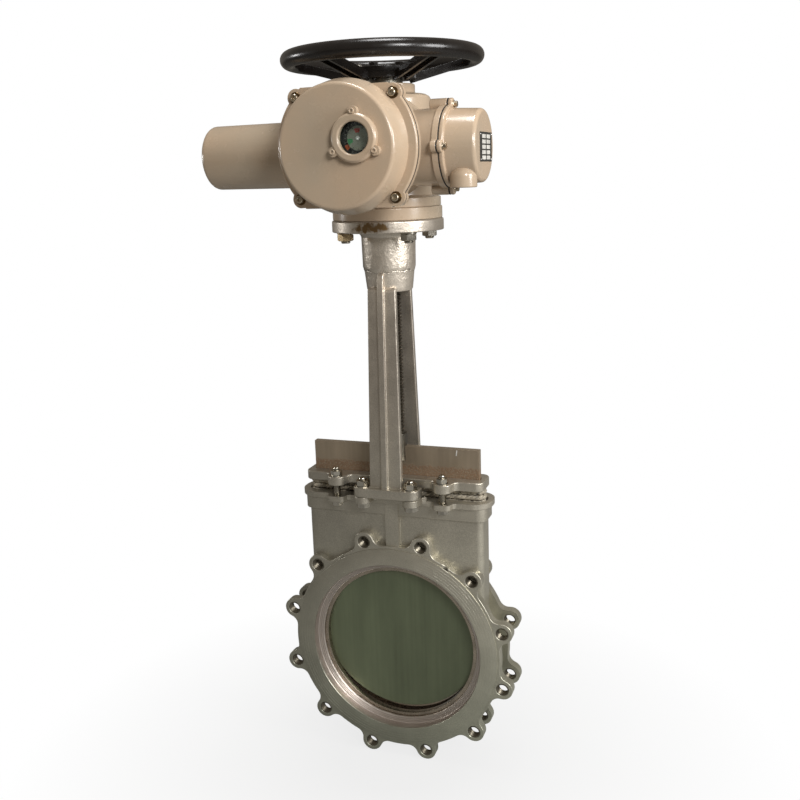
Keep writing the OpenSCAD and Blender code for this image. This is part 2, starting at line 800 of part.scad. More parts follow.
// Lugs round the flange of the terminal box
module box_lugs(x0, x1) {
    for (a = [0:90:270]) bar_x(box_y + box_screw_r * cos(a), box_z + box_screw_r * sin(a), 9, x0, x1);
}

module gear_housing() {
    inner = housing_d / 2 - housing_wall;
    color("tan") difference() {
        union() {
            housing_tower();
            bar_y(cover_x, cover_z, drum_d / 2, drum_y + 2, mid);
            cover_plate(drum_y, drum_y + drum_flange_t);
            bar_x(motor_y, motor_z, motor_d / 2 + 4, 1 - motor_seat, 0);
            bar_x(motor_y, motor_z, motor_flange_d / 2, -motor_seat, 10 - motor_seat);
            bar_x(box_y, box_z, box_neck_d / 2, 0, box_seat - 1);
            bar_x(box_y, box_z, box_flange_d / 2, box_seat - 9, box_seat);
            box_lugs(box_seat - 9, box_seat);
            for (z = [-1, 1]) bar_x(box_y, box_z + z * box_screw_r, 9, box_seat - box_lug_len, box_seat - 1);
        }
        bar_z(0, mid, sleeve_r + 2, yoke_top, boss_top + 1);
        bar_z(0, mid, sleeve_r + bearing_w, low_bearing_z, low_bearing_z + bearing_h);
        bar_z(0, mid, sleeve_r + bearing_w, high_bearing_z, high_bearing_z + bearing_h);
        bar_z(0, mid, wheel_tip_r + 6, motor_z - wheel_half_h - 4, motor_z + wheel_half_h + 4);
        bar_x(motor_y, motor_z, worm_r + 7, -motor_seat - 1, 62);
        bar_y(cover_x, cover_z, drum_d / 2 - housing_wall, drum_y - 1, plate_y + 22);
        bar_y(cover_x, cover_z, drum_d / 2 - 3, drum_y - 1, plate_y);
        bar_x(box_y, box_z, box_inner_r, 48, box_seat - 12);
        bar_x(box_y + 26, box_z, 8, 0, box_seat + 1);
        rotate_about_stem(45) translate([0, 0, yoke_top]) at_flange_bolts()
            bar_z(0, 0, 5.05, 0, base_t + 12);
        at_cover_screws() bar_y(0, 0, 4, drum_y - 1, drum_y + drum_flange_t + 1);
        for (a = [0:90:270]) bar_x(box_y + box_screw_r * cos(a), box_z + box_screw_r * sin(a), 3,
            box_seat - 8, box_seat + 1);
        for (a = [45:90:315]) bar_x(motor_y + motor_screw_r * cos(a), motor_z + motor_screw_r * sin(a), 3,
            -motor_seat - 1, 9 - motor_seat);
    }
}

module bearing_ring(z) {
    color("steelblue") difference() {
        bar_z(0, mid, sleeve_r + bearing_w - bearing_gap, z, z + bearing_h);
        bar_z(0, mid, sleeve_r + bearing_gap, z - 1, z + bearing_h + 1);
    }
}

module lower_bearing() {
    bearing_ring(low_bearing_z);
}

module upper_bearing() {
    bearing_ring(high_bearing_z);
}

module drive_sleeve() {
    color("slategray") difference() {
        bar_z(0, mid, sleeve_r, sleeve_bottom, sleeve_top);
        bar_z(0, mid, sleeve_bore_r, 0, through * 4);
        bar_z(0, mid, nut_r + 0.05, sleeve_bottom - 1, sleeve_bottom + nut_len);
    }
}

module stem_nut() {
    color("peru") difference() {
        bar_z(0, mid, nut_r, sleeve_bottom, sleeve_bottom + nut_len);
        bar_z(0, mid, stem_d / 2 + stem_gap, 0, through * 4);
    }
}

module worm_wheel() {
    pitch = 360 / wheel_teeth;
    color("goldenrod") translate([0, mid, motor_z - wheel_half_h]) difference() {
        linear_extrude(2 * wheel_half_h) polygon([for (i = [0:wheel_teeth - 1], p = [
            [-0.32, wheel_tip_r - tooth_depth], [-0.15, wheel_tip_r], [0.15, wheel_tip_r],
            [0.32, wheel_tip_r - tooth_depth]]) let (a = (i + p[0]) * pitch) p[1] * [cos(a), sin(a)]]);
        translate([0, 0, -1]) cylinder(r = sleeve_r + stem_gap, h = 2 * wheel_half_h + 2);
    }
}

module worm_shaft() {
    turn = PI * 2 * (wheel_tip_r - tooth_depth / 2) / wheel_teeth;
    core = worm_r - tooth_depth + 1;
    color("slategray") translate([0, motor_y, motor_z]) rotate([0, 90, 0]) union() {
        translate([0, 0, -motor_reach + 12]) cylinder(d = motor_shaft_d, h = motor_reach - 12 + 58);
        rotate_extrude() polygon(concat([[0, -36], [core, -36]],
            [for (i = [-3:2], p = [[core, 0.1], [worm_r, 0.32], [worm_r, 0.6], [core, 0.82]])
                [p[0], (i + p[1]) * turn]],
            [[core, 36], [0, 36]]));
    }
}

module worm_bearings() {
    color("steelblue") for (x = [20 - motor_reach, 2 - motor_seat, 46]) difference() {
        bar_x(motor_y, motor_z, worm_r + 7 - bearing_gap, x - 6, x + 6);
        bar_x(motor_y, motor_z, motor_shaft_d / 2 + bearing_gap, x - 7, x + 7);
    }
}

module rotor_core() {
    color("gray") difference() {
        bar_x(motor_y, motor_z, rotor_r, winding_far + core_inset - motor_reach,
            -motor_seat - winding_near - core_inset);
        bar_x(motor_y, motor_z, motor_shaft_d / 2 + 0.02, -motor_reach, 0);
    }
}

module stator_core() {
    color("sienna") difference() {
        bar_x(motor_y, motor_z, motor_d / 2 - motor_wall - air_gap, winding_far - motor_reach,
            -motor_seat - winding_near);
        bar_x(motor_y, motor_z, rotor_r + air_gap, -motor_reach, 0);
    }
}

module motor_housing() {
    r = motor_d / 2;
    color("tan") difference() {
        translate([0, motor_y, motor_z]) rotate([0, -90, 0]) rotate_extrude() polygon(concat(
            [[0, motor_seat], [motor_flange_d / 2, motor_seat], [motor_flange_d / 2, motor_seat + 8],
            [r + 1, motor_seat + 8]],
            [for (a = [0:15:90])
                [r - motor_round + motor_round * cos(a), motor_reach - motor_round + motor_round * sin(a)]],
            [[0, motor_reach]]));
        bar_x(motor_y, motor_z, r - motor_wall, motor_room - motor_reach, -motor_seat - 10);
        bar_x(motor_y, motor_z, worm_r + 7, motor_room / 2 - motor_reach, 1 - motor_seat);
        bar_x(motor_y, motor_z, motor_shaft_d / 2 + 1, 10 - motor_reach, 0);
        for (a = [45:90:315]) bar_x(motor_y + motor_screw_r * cos(a), motor_z + motor_screw_r * sin(a), 3.3,
            -motor_seat - 10, 1 - motor_seat);
    }
}

module motor_screws() {
    color("gainsboro") for (a = [45:90:315]) {
        bar_x(motor_y + motor_screw_r * cos(a), motor_z + motor_screw_r * sin(a), 2.95,
            -motor_seat - 8 - eps, 8 - motor_seat);
        bar_x(motor_y + motor_screw_r * cos(a), motor_z + motor_screw_r * sin(a), 4.5,
            -motor_seat - 13, -motor_seat - 8);
    }
}

module control_plate() {
    color("silver") difference() {
        union() {
            bar_y(cover_x, cover_z, drum_d / 2 - 3.3, plate_y - 3, plate_y);
            bar_y(sight_cx, sight_cz, 9, dial_y + 2, plate_y - 2);
        }
        bar_y(sight_cx, sight_cz, 4 + bearing_gap, 2 * dial_y, plate_y + 1);
    }
}

module cover_ring(y0, y1, inner) {
    difference() {
        cover_plate(y0, y1);
        bar_y(cover_x, cover_z, inner, y0 - 1, y1 + 1);
        at_cover_screws() bar_y(0, 0, 4.4, y0 - 1, y1 + 1);
    }
}

module cover_gasket() {
    color("black") cover_ring(cover_back, drum_y, drum_d / 2 - 3);
}

module control_cover() {
    r = cover_d / 2;
    face_r = cover_face_d / 2;
    round = cover_round;
    color("tan") difference() {
        union() {
            cover_ring(cover_back - cover_flange_t, cover_back, drum_d / 2 - 3);
            translate([cover_x, cover_back, cover_z]) rotate([90, 0, 0]) rotate_extrude() polygon(concat(
                [[drum_d / 2 - 4, 0], [r, 0], [r, cover_flange_t]],
                [for (a = [0:15:90])
                    [face_r - round + round * cos(a), cover_depth - round + round * sin(a)]],
                [[0, cover_depth], [0, cover_depth - cover_wall],
                [face_r - round, cover_depth - cover_wall], [drum_d / 2 - 4, cover_depth - cover_wall - round]]));
        }
        bar_y(sight_cx, sight_cz, glass_d / 2 - 1, cover_front - 1, cover_front + 10);
        bezel_holes(cover_front - 1, cover_front + 4);
    }
}

module bezel_holes(y0, y1) {
    for (a = [90:120:330])
        bar_y(sight_cx + bezel_screw_r * cos(a), sight_cz + bezel_screw_r * sin(a), 2, y0, y1);
}

module cover_screws() {
    under = cover_back - cover_flange_t;
    color("dimgray") at_cover_screws() {
        bar_y(0, 0, 3.95, under - eps, drum_y + drum_flange_t);
        difference() {
            bar_y(0, 0, 6.5, under - 8, under);
            translate([0, under - 4, 0]) rotate([90, 0, 0]) cylinder(r = 3.5, h = 5, $fn = 6);
        }
    }
}

module sight_bezel() {
    color("tan") difference() {
        union() {
            translate([sight_cx, cover_front, sight_cz]) rotate([90, 0, 0]) rotate_extrude() polygon([
                [glass_d / 2 - 3, 0], [bezel_d / 2, 0], [bezel_d / 2, bezel_h - 3],
                [bezel_d / 2 - 3, bezel_h], [glass_d / 2 - 1, bezel_h], [glass_d / 2 - 3, bezel_h - 2]]);
            for (a = [90:120:330]) bar_y(sight_cx + bezel_screw_r * cos(a),
                sight_cz + bezel_screw_r * sin(a), bezel_lug_r, cover_front - bezel_lug_h, cover_front);
        }
        bar_y(sight_cx, sight_cz, glass_d / 2 + 0.2, cover_front - glass_t - 0.05, cover_front + 1);
        bezel_holes(cover_front - bezel_h, cover_front + 1);
    }
}

module bezel_screws() {
    color("gainsboro") for (a = [90:120:330]) {
        x = sight_cx + bezel_screw_r * cos(a);
        z = sight_cz + bezel_screw_r * sin(a);
        bar_y(x, z, 1.95, cover_front - bezel_h - eps, cover_front + 4);
        bar_y(x, z, 3.8, cover_front - bezel_h - 2, cover_front - bezel_h);
    }
}

module sight_glass() {
    color("lightblue", 0.4) bar_y(sight_cx, sight_cz, glass_d / 2, cover_front - glass_t, cover_front);
}

module dial_plate() {
    color("black") difference() {
        bar_y(sight_cx, sight_cz, glass_d / 2 + 6, dial_y, dial_y + 2);
        bar_y(sight_cx, sight_cz, 4.5, 2 * dial_y, 0);
    }
}

module indicator_disc() {
    color("lightgray") {
        bar_y(sight_cx, sight_cz, disc_r, disc_y, disc_y + 2);
        bar_y(sight_cx, sight_cz, 4, disc_y + 1, plate_y + 10);
    }
}

module box_ring(x0, x1, inner) {
    difference() {
        union() {
            bar_x(box_y, box_z, box_flange_d / 2, x0, x1);
            box_lugs(x0, x1);
        }
        bar_x(box_y, box_z, inner, x0 - 1, x1 + 1);
        for (a = [0:90:270])
            bar_x(box_y + box_screw_r * cos(a), box_z + box_screw_r * sin(a), 3.4, x0 - 1, x1 + 1);
    }
}

module terminal_gasket() {
    color("black") box_ring(box_seat, box_cover_x, box_inner_r);
}

module terminal_cover() {
    depth = box_reach - box_cover_x;
    outer = box_flange_d / 2 - 5;
    face_r = box_face_d / 2;
    round = 6;
    inner = box_inner_r;
    color("tan") difference() {
        union() {
            box_ring(box_cover_x, box_cover_x + box_flange_t, inner);
            translate([box_cover_x, box_y, box_z]) rotate([0, 90, 0]) rotate_extrude() polygon(concat(
                [[inner - 1, 0], [outer, 0], [outer, box_flange_t]],
                [for (a = [0:15:90]) [face_r - round + round * cos(a), depth - round + round * sin(a)]],
                [[0, depth], [0, depth - 5], [inner - 1, depth - 5]]));
            translate([conduit_x, conduit_y, conduit_z]) rotate_extrude() polygon(concat(
                [[0, 0], [conduit_d / 2, 0]],
                [for (a = [0:15:90]) [conduit_d / 2 * cos(a), conduit_len - conduit_dome + conduit_dome * sin(a)]]));
        }
        bar_z(conduit_x, conduit_y, conduit_hole_d / 2, conduit_z - 1, conduit_z + conduit_len - 5);
    }
}

module terminal_screws() {
    color("dimgray") for (a = [0:90:270]) {
        y = box_y + box_screw_r * cos(a);
        z = box_z + box_screw_r * sin(a);
        bar_x(y, z, 2.95, box_seat - 8, box_cover_x + box_flange_t + eps);
        bar_x(y, z, 4.5, box_cover_x + box_flange_t, box_cover_x + box_flange_t + 6);
    }
}

module terminal_block() {
    pitch = block_h / 6.5;
    color("ivory") translate([box_seat, box_y - 16, box_z - block_h / 2]) difference() {
        cube([block_t, block_w, block_h]);
        for (i = [0:5]) translate([0.75 * block_t, -1, (i + 0.5) * pitch]) cube([block_t, block_w + 2, pitch / 2]);
    }
}

module nameplate() {
    color("darkgray") translate([box_reach, box_y + plate_shift - plate_w / 2, box_z - 2 - plate_h / 2])
        cube([0.8, plate_w, plate_h]);
}

// One spoke: a channel, open below, that rises from the centre plate to the rim
module spoke() {
    translate([spoke_in, 0, spoke_low]) rotate([0, -spoke_slope, 0]) {
        translate([0, -spoke_w / 2, -1]) cube([spoke_len, spoke_w, 5]);
        for (y = [-spoke_w / 2, spoke_w / 2 - 5]) translate([0, y, 3 - spoke_h]) cube([spoke_len, 5, spoke_h]);
    }
}

module handwheel() {
    color("black") translate([0, mid, 0]) difference() {
        union() {
            translate([0, 0, wheel_z]) rotate_extrude($fn = 96) translate([wheel_d / 2, 0]) circle(d = rim_d, $fn = 32);
            translate([0, 0, spoke_low - 4]) cylinder(d = hub_plate_d, h = plate_t + 2);
            for (i = [0:spoke_n - 1]) rotate(i * 360 / spoke_n - 108) spoke();
        }
        cylinder(r = sleeve_r + 0.1, h = through * 4);
        for (a = [30:60:330]) rotate(a) translate([hub_plate_d / 2 - 12, 0, 0])
            cylinder(r = 4.2, h = through * 4);
    }
}

module wheel_hub() {
    color("gray") translate([0, mid, 0]) difference() {
        translate([0, 0, spoke_low + plate_t - 2]) cylinder(d = hub_plate_d - 6, h = 9);
        cylinder(r = sleeve_r, h = through * 4);
        for (a = [30:60:330]) rotate(a) translate([hub_plate_d / 2 - 12, 0, 0])
            cylinder(r = 4.2, h = through * 4);
    }
}

module hub_bolts() {
    top = spoke_low + plate_t + 7;
    color("gainsboro") translate([0, mid, 0]) for (a = [30:60:330]) rotate(a)
        translate([hub_plate_d / 2 - 12, 0, 0]) {
            bar_z(0, 0, 4, spoke_low - 6, top + eps);
            translate([0, 0, top]) cylinder(r = 7.5, h = 5, $fn = 6);
        }
}

body_casting();
seat_rings();
packing();
gland_follower();
gland_bolts();
gland_nuts();
yoke();
foot_bolts();
foot_nuts();
stem_bush();
flange_studs();
flange_nuts();
gate();
stem_clevis();
clevis_pin();
stem();
base_plate();
base_screws();
gear_housing();
lower_bearing();
upper_bearing();
drive_sleeve();
stem_nut();
worm_wheel();
worm_shaft();
worm_bearings();
rotor_core();
stator_core();
motor_housing();
motor_screws();
control_plate();
cover_gasket();
control_cover();
cover_screws();
sight_bezel();
bezel_screws();
sight_glass();
dial_plate();
indicator_disc();
terminal_gasket();
terminal_cover();
terminal_screws();
terminal_block();
nameplate();
handwheel();
wheel_hub();
hub_bolts();
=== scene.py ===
import json
import math
import random

import bmesh
import bpy
from mathutils import Matrix, Vector
from mathutils.kdtree import KDTree


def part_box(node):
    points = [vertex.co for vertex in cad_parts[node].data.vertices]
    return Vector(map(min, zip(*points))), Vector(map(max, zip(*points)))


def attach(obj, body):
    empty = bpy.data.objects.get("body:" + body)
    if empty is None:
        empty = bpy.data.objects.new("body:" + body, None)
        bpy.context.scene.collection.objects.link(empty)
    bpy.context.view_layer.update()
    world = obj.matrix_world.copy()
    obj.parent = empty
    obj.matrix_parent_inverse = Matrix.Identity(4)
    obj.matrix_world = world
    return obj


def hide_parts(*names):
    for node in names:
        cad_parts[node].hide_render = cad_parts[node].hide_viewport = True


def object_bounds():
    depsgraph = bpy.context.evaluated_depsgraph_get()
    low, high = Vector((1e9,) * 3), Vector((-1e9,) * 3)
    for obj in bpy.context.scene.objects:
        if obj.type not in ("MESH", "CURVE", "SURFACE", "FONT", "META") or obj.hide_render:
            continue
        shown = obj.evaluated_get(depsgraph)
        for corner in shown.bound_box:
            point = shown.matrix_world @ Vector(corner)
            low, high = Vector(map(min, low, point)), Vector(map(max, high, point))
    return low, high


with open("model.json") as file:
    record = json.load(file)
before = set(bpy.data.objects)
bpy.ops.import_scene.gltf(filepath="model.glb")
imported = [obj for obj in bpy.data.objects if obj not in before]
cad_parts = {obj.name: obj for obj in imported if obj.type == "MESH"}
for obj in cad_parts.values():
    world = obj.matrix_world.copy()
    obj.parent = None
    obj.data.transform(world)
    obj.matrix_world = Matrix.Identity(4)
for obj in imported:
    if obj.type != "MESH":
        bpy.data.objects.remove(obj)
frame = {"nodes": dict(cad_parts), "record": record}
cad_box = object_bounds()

# Camera
# A normal lens about 1.6 m from the valve, a little to the right of it, looking down and slightly tilted,
# as the photograph was taken.
camera_place = Vector((0.558938, -1.467276, 0.817264))
camera_turn = -0.349
camera_dip = -0.230
camera_tilt = -0.033
camera_lens = 43.7

look = Vector((math.sin(camera_turn) * math.cos(camera_dip), math.cos(camera_turn) * math.cos(camera_dip),
               math.sin(camera_dip)))
level_right = Vector((math.cos(camera_turn), -math.sin(camera_turn), 0))
level_up = level_right.cross(look)
camera_right = level_right * math.cos(camera_tilt) + level_up * math.sin(camera_tilt)
camera_up = level_up * math.cos(camera_tilt) - level_right * math.sin(camera_tilt)
camera_data = bpy.data.cameras.new("camera")
camera_data.lens = camera_lens
camera_data.sensor_width = 36
camera = bpy.data.objects.new("camera", camera_data)
camera_axes = Matrix((camera_right, camera_up, -look)).transposed().to_4x4()
camera.matrix_world = Matrix.Translation(camera_place) @ camera_axes
bpy.context.scene.collection.objects.link(camera)
bpy.context.scene.camera = camera
bpy.context.scene.view_settings.view_transform = "Standard"

# Floor and light
# A plain studio floor that fades to white, with round soft lights at the front right, at the right, above and,
# small and weak, at the left. The shaded sides stay dark, as in the photograph.
floor_z = cad_box[0][2] - 0.002
floor_half = 9.0
floor_colour = (0.30, 0.30, 0.29)
floor_rough = 0.9
floor_fade = (0.10, 0.7)
floor_white = (0.80, 1.0)
fill_colour = (1.0, 0.91, 0.78, 1)
fill_strength = 0.24
lights = (
    ("front_box", (1.9, -2.1, 1.8), 0.9, 51),
    ("right_box", (2.5, -0.5, 1.3), 1.2, 52),
    ("top_box", (0.1, -0.1, 3.0), 0.9, 29),
    ("left_box", (-2.3, -0.1, 0.9), 0.4, 8))
light_aim = Vector((0, 0, 0.45))


def material_parts(name):
    """A new material with its node tree and its main shader."""
    material = bpy.data.materials.new(name)
    material.use_nodes = True
    tree = material.node_tree
    return material, tree, tree.nodes["Principled BSDF"]


def add(tree, kind, **settings):
    """A new node with its inputs or settings given by name."""
    node = tree.nodes.new(kind)
    for key, value in settings.items():
        if hasattr(node, key):
            setattr(node, key, value)
        else:
            node.inputs[key.replace("_", " ")].default_value = value
    return node


def feed(tree, socket, value):
    """Sets a socket from a number, a colour or another socket."""
    if isinstance(value, (int, float)):
        socket.default_value = value
    elif isinstance(value, tuple):
        socket.default_value = (*value, 1)[:4]
    else:
        tree.links.new(value, socket)


def finish(tree, colour, rough, metallic=0.0):
    """Sets the main shader's colour, roughness and share of metal, from sockets or plain values."""
    shader = tree.nodes["Principled BSDF"]
    for name, value in (("Base Color", colour), ("Roughness", rough), ("Metallic", metallic)):
        feed(tree, shader.inputs[name], value)


def sum_of(tree, operation, first, second=0.0):
    """A number worked out from two others, which are sockets or plain values."""
    node = add(tree, "ShaderNodeMath", operation=operation)
    feed(tree, node.inputs[0], first)
    feed(tree, node.inputs[1], second)
    return node.outputs[0]


def plus(tree, first, second):
    return sum_of(tree, "ADD", first, second)


def minus(tree, first, second):
    return sum_of(tree, "SUBTRACT", first, second)


def times(tree, first, second):
    return sum_of(tree, "MULTIPLY", first, second)


def spread(tree, value, low, high, to_low=0.0, to_high=1.0):
    """value moved from one range to another and held there."""
    node = add(tree, "ShaderNodeMapRange", From_Min=low, From_Max=high, To_Min=to_low, To_Max=to_high)
    tree.links.new(value, node.inputs["Value"])
    return node.outputs[0]


def place_socket(tree):
    """The object's own coordinates, in metres."""
    return add(tree, "ShaderNodeTexCoord").outputs["Object"]


def add_link(tree, kind, value, **settings):
    """A new node with its first input fed by value."""
    node = add(tree, kind, **settings)
    tree.links.new(value, node.inputs[0])
    return node


def either_ray(tree, first, second):
    """1 for rays of two kinds and 0 for all others."""
    rays = add(tree, "ShaderNodeLightPath")
    return sum_of(tree, "MAXIMUM", rays.outputs[first], rays.outputs[second])


def mixed(tree, factor, first, second, end):
    """Two shaders mixed by factor, on the surface of the node called end."""
    mix = add(tree, "ShaderNodeMixShader")
    feed(tree, mix.inputs[0], factor)
    tree.links.new(first.outputs[0], mix.inputs[1])
    tree.links.new(second.outputs[0], mix.inputs[2])
    tree.links.new(mix.outputs[0], tree.nodes[end].inputs["Surface"])


def floor_material():
    material, tree, shader = material_parts("floor_paper")
    finish(tree, floor_colour, floor_rough)
    reach = add_link(tree, "ShaderNodeVectorMath", place_socket(tree), operation="LENGTH")
    fade = spread(tree, reach.outputs["Value"], *floor_fade, *floor_white)
    seen = either_ray(tree, "Is Camera Ray", "Is Transmission Ray")
    glow = add(tree, "ShaderNodeEmission", Color=(1, 1, 1, 1), Strength=1.0)
    mixed(tree, times(tree, seen, fade), shader, glow, "Material Output")
    return material


def mesh_piece(name, points, faces, material, smooth_angle=None):
    """A mesh object of points in metres and faces, with doubled points joined and its faces turned outward."""
    mesh = bpy.data.meshes.new(name)
    mesh.from_pydata(points, [], faces)
    work = bmesh.new()
    work.from_mesh(mesh)
    bmesh.ops.remove_doubles(work, verts=work.verts, dist=1e-6)
    bmesh.ops.recalc_face_normals(work, faces=work.faces)
    work.to_mesh(mesh)
    work.free()
    mesh.materials.append(material)
    if smooth_angle:
        mesh.shade_smooth()
        mesh.set_sharp_from_angle(angle=math.radians(smooth_angle))
    piece = bpy.data.objects.new(name, mesh)
    bpy.context.scene.collection.objects.link(piece)
    return piece


floor_corners = [(x * floor_half, y * floor_half, 0) for x, y in ((-1, -1), (1, -1), (1, 1), (-1, 1))]
floor = mesh_piece("floor", floor_corners, [(0, 1, 2, 3)], floor_material())
floor.location = (0, 0, floor_z)

world = bpy.data.worlds.new("studio")
world.use_nodes = True
bpy.context.scene.world = world
sky = world.node_tree
sky_fill = sky.nodes["Background"]
sky_fill.inputs["Color"].default_value = fill_colour
sky_fill.inputs["Strength"].default_value = fill_strength
sky_white = add(sky, "ShaderNodeBackground", Color=(1, 1, 1, 1), Strength=1.0)
mixed(sky, either_ray(sky, "Is Camera Ray", "Is Transmission Ray"), sky_fill, sky_white, "World Output")

for name, place, size, power in lights:
    lamp = bpy.data.lights.new(name, "AREA")
    lamp.shape = "DISK"
    lamp.size = size
    lamp.energy = power
    holder = bpy.data.objects.new(name, lamp)
    holder.location = place
    holder.rotation_euler = (light_aim - Vector(place)).to_track_quat("-Z", "Y").to_euler()
    bpy.context.scene.collection.objects.link(holder)

# Body casting
# The body is one steel casting: two rings of lugs, the chest, the stuffing box and its lip. It is painted
# silver-grey over the cast skin, and the mouth, the throat and the flange faces are turned in a lathe.
# The paint turns darker and green-grey towards the bottom: painted shade and a painted reflection of a green floor,
# not a change in the paint.
casting_low_shade_and_reflection_colour = (0.380, 0.385, 0.310)
casting_high_colour = (0.540, 0.485, 0.415)
casting_painted_light_heights = (-0.15, 0.50)
# The paint is toned from 0.78 at the left to 1.22 at the right: painted light and shade from the side.
casting_painted_side_light = (0.78, 1.22)
casting_painted_side_light_reach = (-0.20, 0.20)
casting_metallic = 0.85
turned_metallic = 0.95
turned_colour = (0.62, 0.56, 0.51)
mouth_r = 0.1552
casting_edge = 0.0022


def split(tree, vector):
    """The x, y and z sockets of a vector."""
    return add_link(tree, "ShaderNodeSeparateXYZ", vector).outputs


def grain(tree, scale, detail=4, stretch=(1, 1, 1)):
    """Noise over the object's own coordinates, in cycles per metre, drawn out by stretch."""
    mapping = add_link(tree, "ShaderNodeMapping", place_socket(tree), Scale=stretch)
    noise = add_link(tree, "ShaderNodeTexNoise", mapping.outputs[0], Scale=scale, Detail=detail, Roughness=0.55)
    return noise.outputs["Fac"]


def bumps(tree, shader, *layers):
    """Stacks bump layers, each (height socket, strength, depth in metres), on the shader's normal."""
    last = None
    for height, strength, depth in layers:
        bump = add(tree, "ShaderNodeBump", Strength=strength, Distance=depth)
        tree.links.new(height, bump.inputs["Height"])
        if last:
            tree.links.new(last, bump.inputs["Normal"])
        last = bump.outputs["Normal"]
    tree.links.new(last, shader.inputs["Normal"])


def blended(tree, factor, first, second):
    """A colour between two others, which are sockets or plain colours."""
    node = add(tree, "ShaderNodeMix", data_type="RGBA")
    feed(tree, node.inputs[0], factor)
    feed(tree, node.inputs[6], first)
    feed(tree, node.inputs[7], second)
    return node.outputs[2]


def toned(tree, colour, factor):
    """A colour made lighter or darker by a factor socket."""
    node = add(tree, "ShaderNodeVectorMath", operation="SCALE")
    if isinstance(colour, tuple):
        node.inputs[0].default_value = colour
    else:
        tree.links.new(colour, node.inputs[0])
    tree.links.new(factor, node.inputs["Scale"])
    return node.outputs[0]


def bore_radius(tree):
    """The distance from the axis of the valve's bore."""
    x, y, z = split(tree, place_socket(tree))
    return sum_of(tree, "SQRT", plus(tree, times(tree, x, x), times(tree, z, z)))


def casting_material(name, turned=False):
    material, tree, shader = material_parts(name)
    x, y, z = split(tree, place_socket(tree))
    # Darker and greener towards the bottom by height: painted shade and painted green reflection.
    tone = blended(tree, spread(tree, z, *casting_painted_light_heights), casting_low_shade_and_reflection_colour, casting_high_colour)
    clouds = spread(tree, grain(tree, 14, 5), 0.3, 0.7, 0.86, 1.10)
    speck = spread(tree, grain(tree, 900, 2), 0.38, 0.66, 0.86, 1.16)
    # side scales the colour from dark at the left to light at the right: painted side light and shade.
    side = spread(tree, x, *casting_painted_side_light_reach, *casting_painted_side_light)
    tone = toned(tree, toned(tree, toned(tree, tone, clouds), speck), side)
    metallic = casting_metallic
    if turned:
        bare = sum_of(tree, "LESS_THAN", bore_radius(tree), mouth_r)
        marks = add_link(tree, "ShaderNodeTexWave", place_socket(tree), wave_type="BANDS", bands_direction="Y",
                         Scale=330.0, Distortion=0.6, Detail=2.0)
        steel = toned(tree, turned_colour, spread(tree, marks.outputs["Fac"], 0, 1, 0.72, 1.08))
        tone = blended(tree, bare, tone, steel)
        metallic = spread(tree, bare, 0, 1, casting_metallic, turned_metallic)
    finish(tree, tone, spread(tree, grain(tree, 45, 4), 0.3, 0.7, 0.32, 0.46), metallic)
    bumps(tree, shader, (grain(tree, 70, 4), 0.5, 0.0012), (grain(tree, 330, 3), 0.55, 0.0005))
    return material


def body_of(node):
    """The moving body that a node belongs to."""
    for body, members in frame["record"]["behaviour"]["bodies"].items():
        if node in members:
            return body


def slot_of(node):
    """The record's material slot of a node."""
    for row in frame["record"]["subparts"]:
        if row["node"] == node:
            return row["material_slot"]


def stand_for(piece, node):
    """The piece rides on the node's body and is shown in its place."""
    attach(piece, body_of(node))
    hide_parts(node)
    slot_of(node)
    return piece


def belong_to(piece, node):
    """The piece rides on the node's body beside it."""
    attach(piece, body_of(node))
    return piece


# The limits of the rounding. Areas are in square metres, leans are cosines and flat_degrees is an angle.
joined_gap = 2e-6
flat_degrees = 0.5
sliver_area = 2e-8
run_lean = -0.7
cross_lean = 0.95
least_bend = 0.001
room_share = 0.44
tight_part = 0.1
fold_area = 2e-7
fold_lean = 0.2
fold_reach = 0.8
fold_reach_step = 0.3
fold_tries = 12
fold_step = 0.6


def lean_of(edge, other, vert):
    """The cosine between two edges that leave a vertex: -1 where other goes straight on."""
    along = edge.other_vert(vert).co - vert.co
    return (other.other_vert(vert).co - vert.co).normalized().dot(along.normalized())


def room_beside(edge, sharp):
    """How far a rounding of edge may reach: a share of the bend's radius and of the edges that it would cross."""
    room = 1.0
    for vert in edge.verts:
        for other in vert.link_edges:
            lean = lean_of(edge, other, vert)
            if other in sharp and lean < run_lean:
                bend = max(math.pi - math.acos(max(lean, -1)), least_bend)
                room = min(room, edge.calc_length() / bend)
            elif other != edge and abs(lean) < cross_lean:
                room = min(room, other.calc_length() * math.sqrt(1 - lean * lean))
    return room_share * room


def runs_of(sharp):
    """The sharp edges in runs that bend little, so that each run has one width of rounding."""
    left = set(sharp)
    while left:
        stack = [left.pop()]
        run = []
        while stack:
            edge = stack.pop()
            run.append(edge)
            for vert in edge.verts:
                for other in vert.link_edges:
                    if other in left and lean_of(edge, other, vert) < run_lean:
                        left.remove(other)
                        stack.append(other)
        yield run


def room_of(run, sharp):
    """The room beside all of the run but the tightest tenth of its length."""
    rooms = sorted((room_beside(e, sharp), e.calc_length()) for e in run)
    left = tight_part * sum(length for room, length in rooms)
    for room, length in rooms:
        left -= length
        if left < 0:
            return room
    return room


def folds(piece):
    """The places where the rounding has turned a face's outline back over itself."""
    shown = piece.evaluated_get(bpy.context.evaluated_depsgraph_get())
    mesh = shown.to_mesh()
    mesh.calc_loop_triangles()
    filled = [0.0] * len(mesh.polygons)
    for part in mesh.loop_triangles:
        filled[part.polygon_index] += part.area
    places = []
    for face in mesh.polygons:
        if abs(filled[face.index] - face.area) > fold_area:
            points = [mesh.vertices[i].co.copy() for i in face.vertices]
            for before, here, after in zip(points[-1:] + points[:-1], points, points[1:] + points[:1]):
                if (here - before).normalized().dot((after - here).normalized()) < fold_lean:
                    places.append(here)
    shown.to_mesh_clear()
    return places


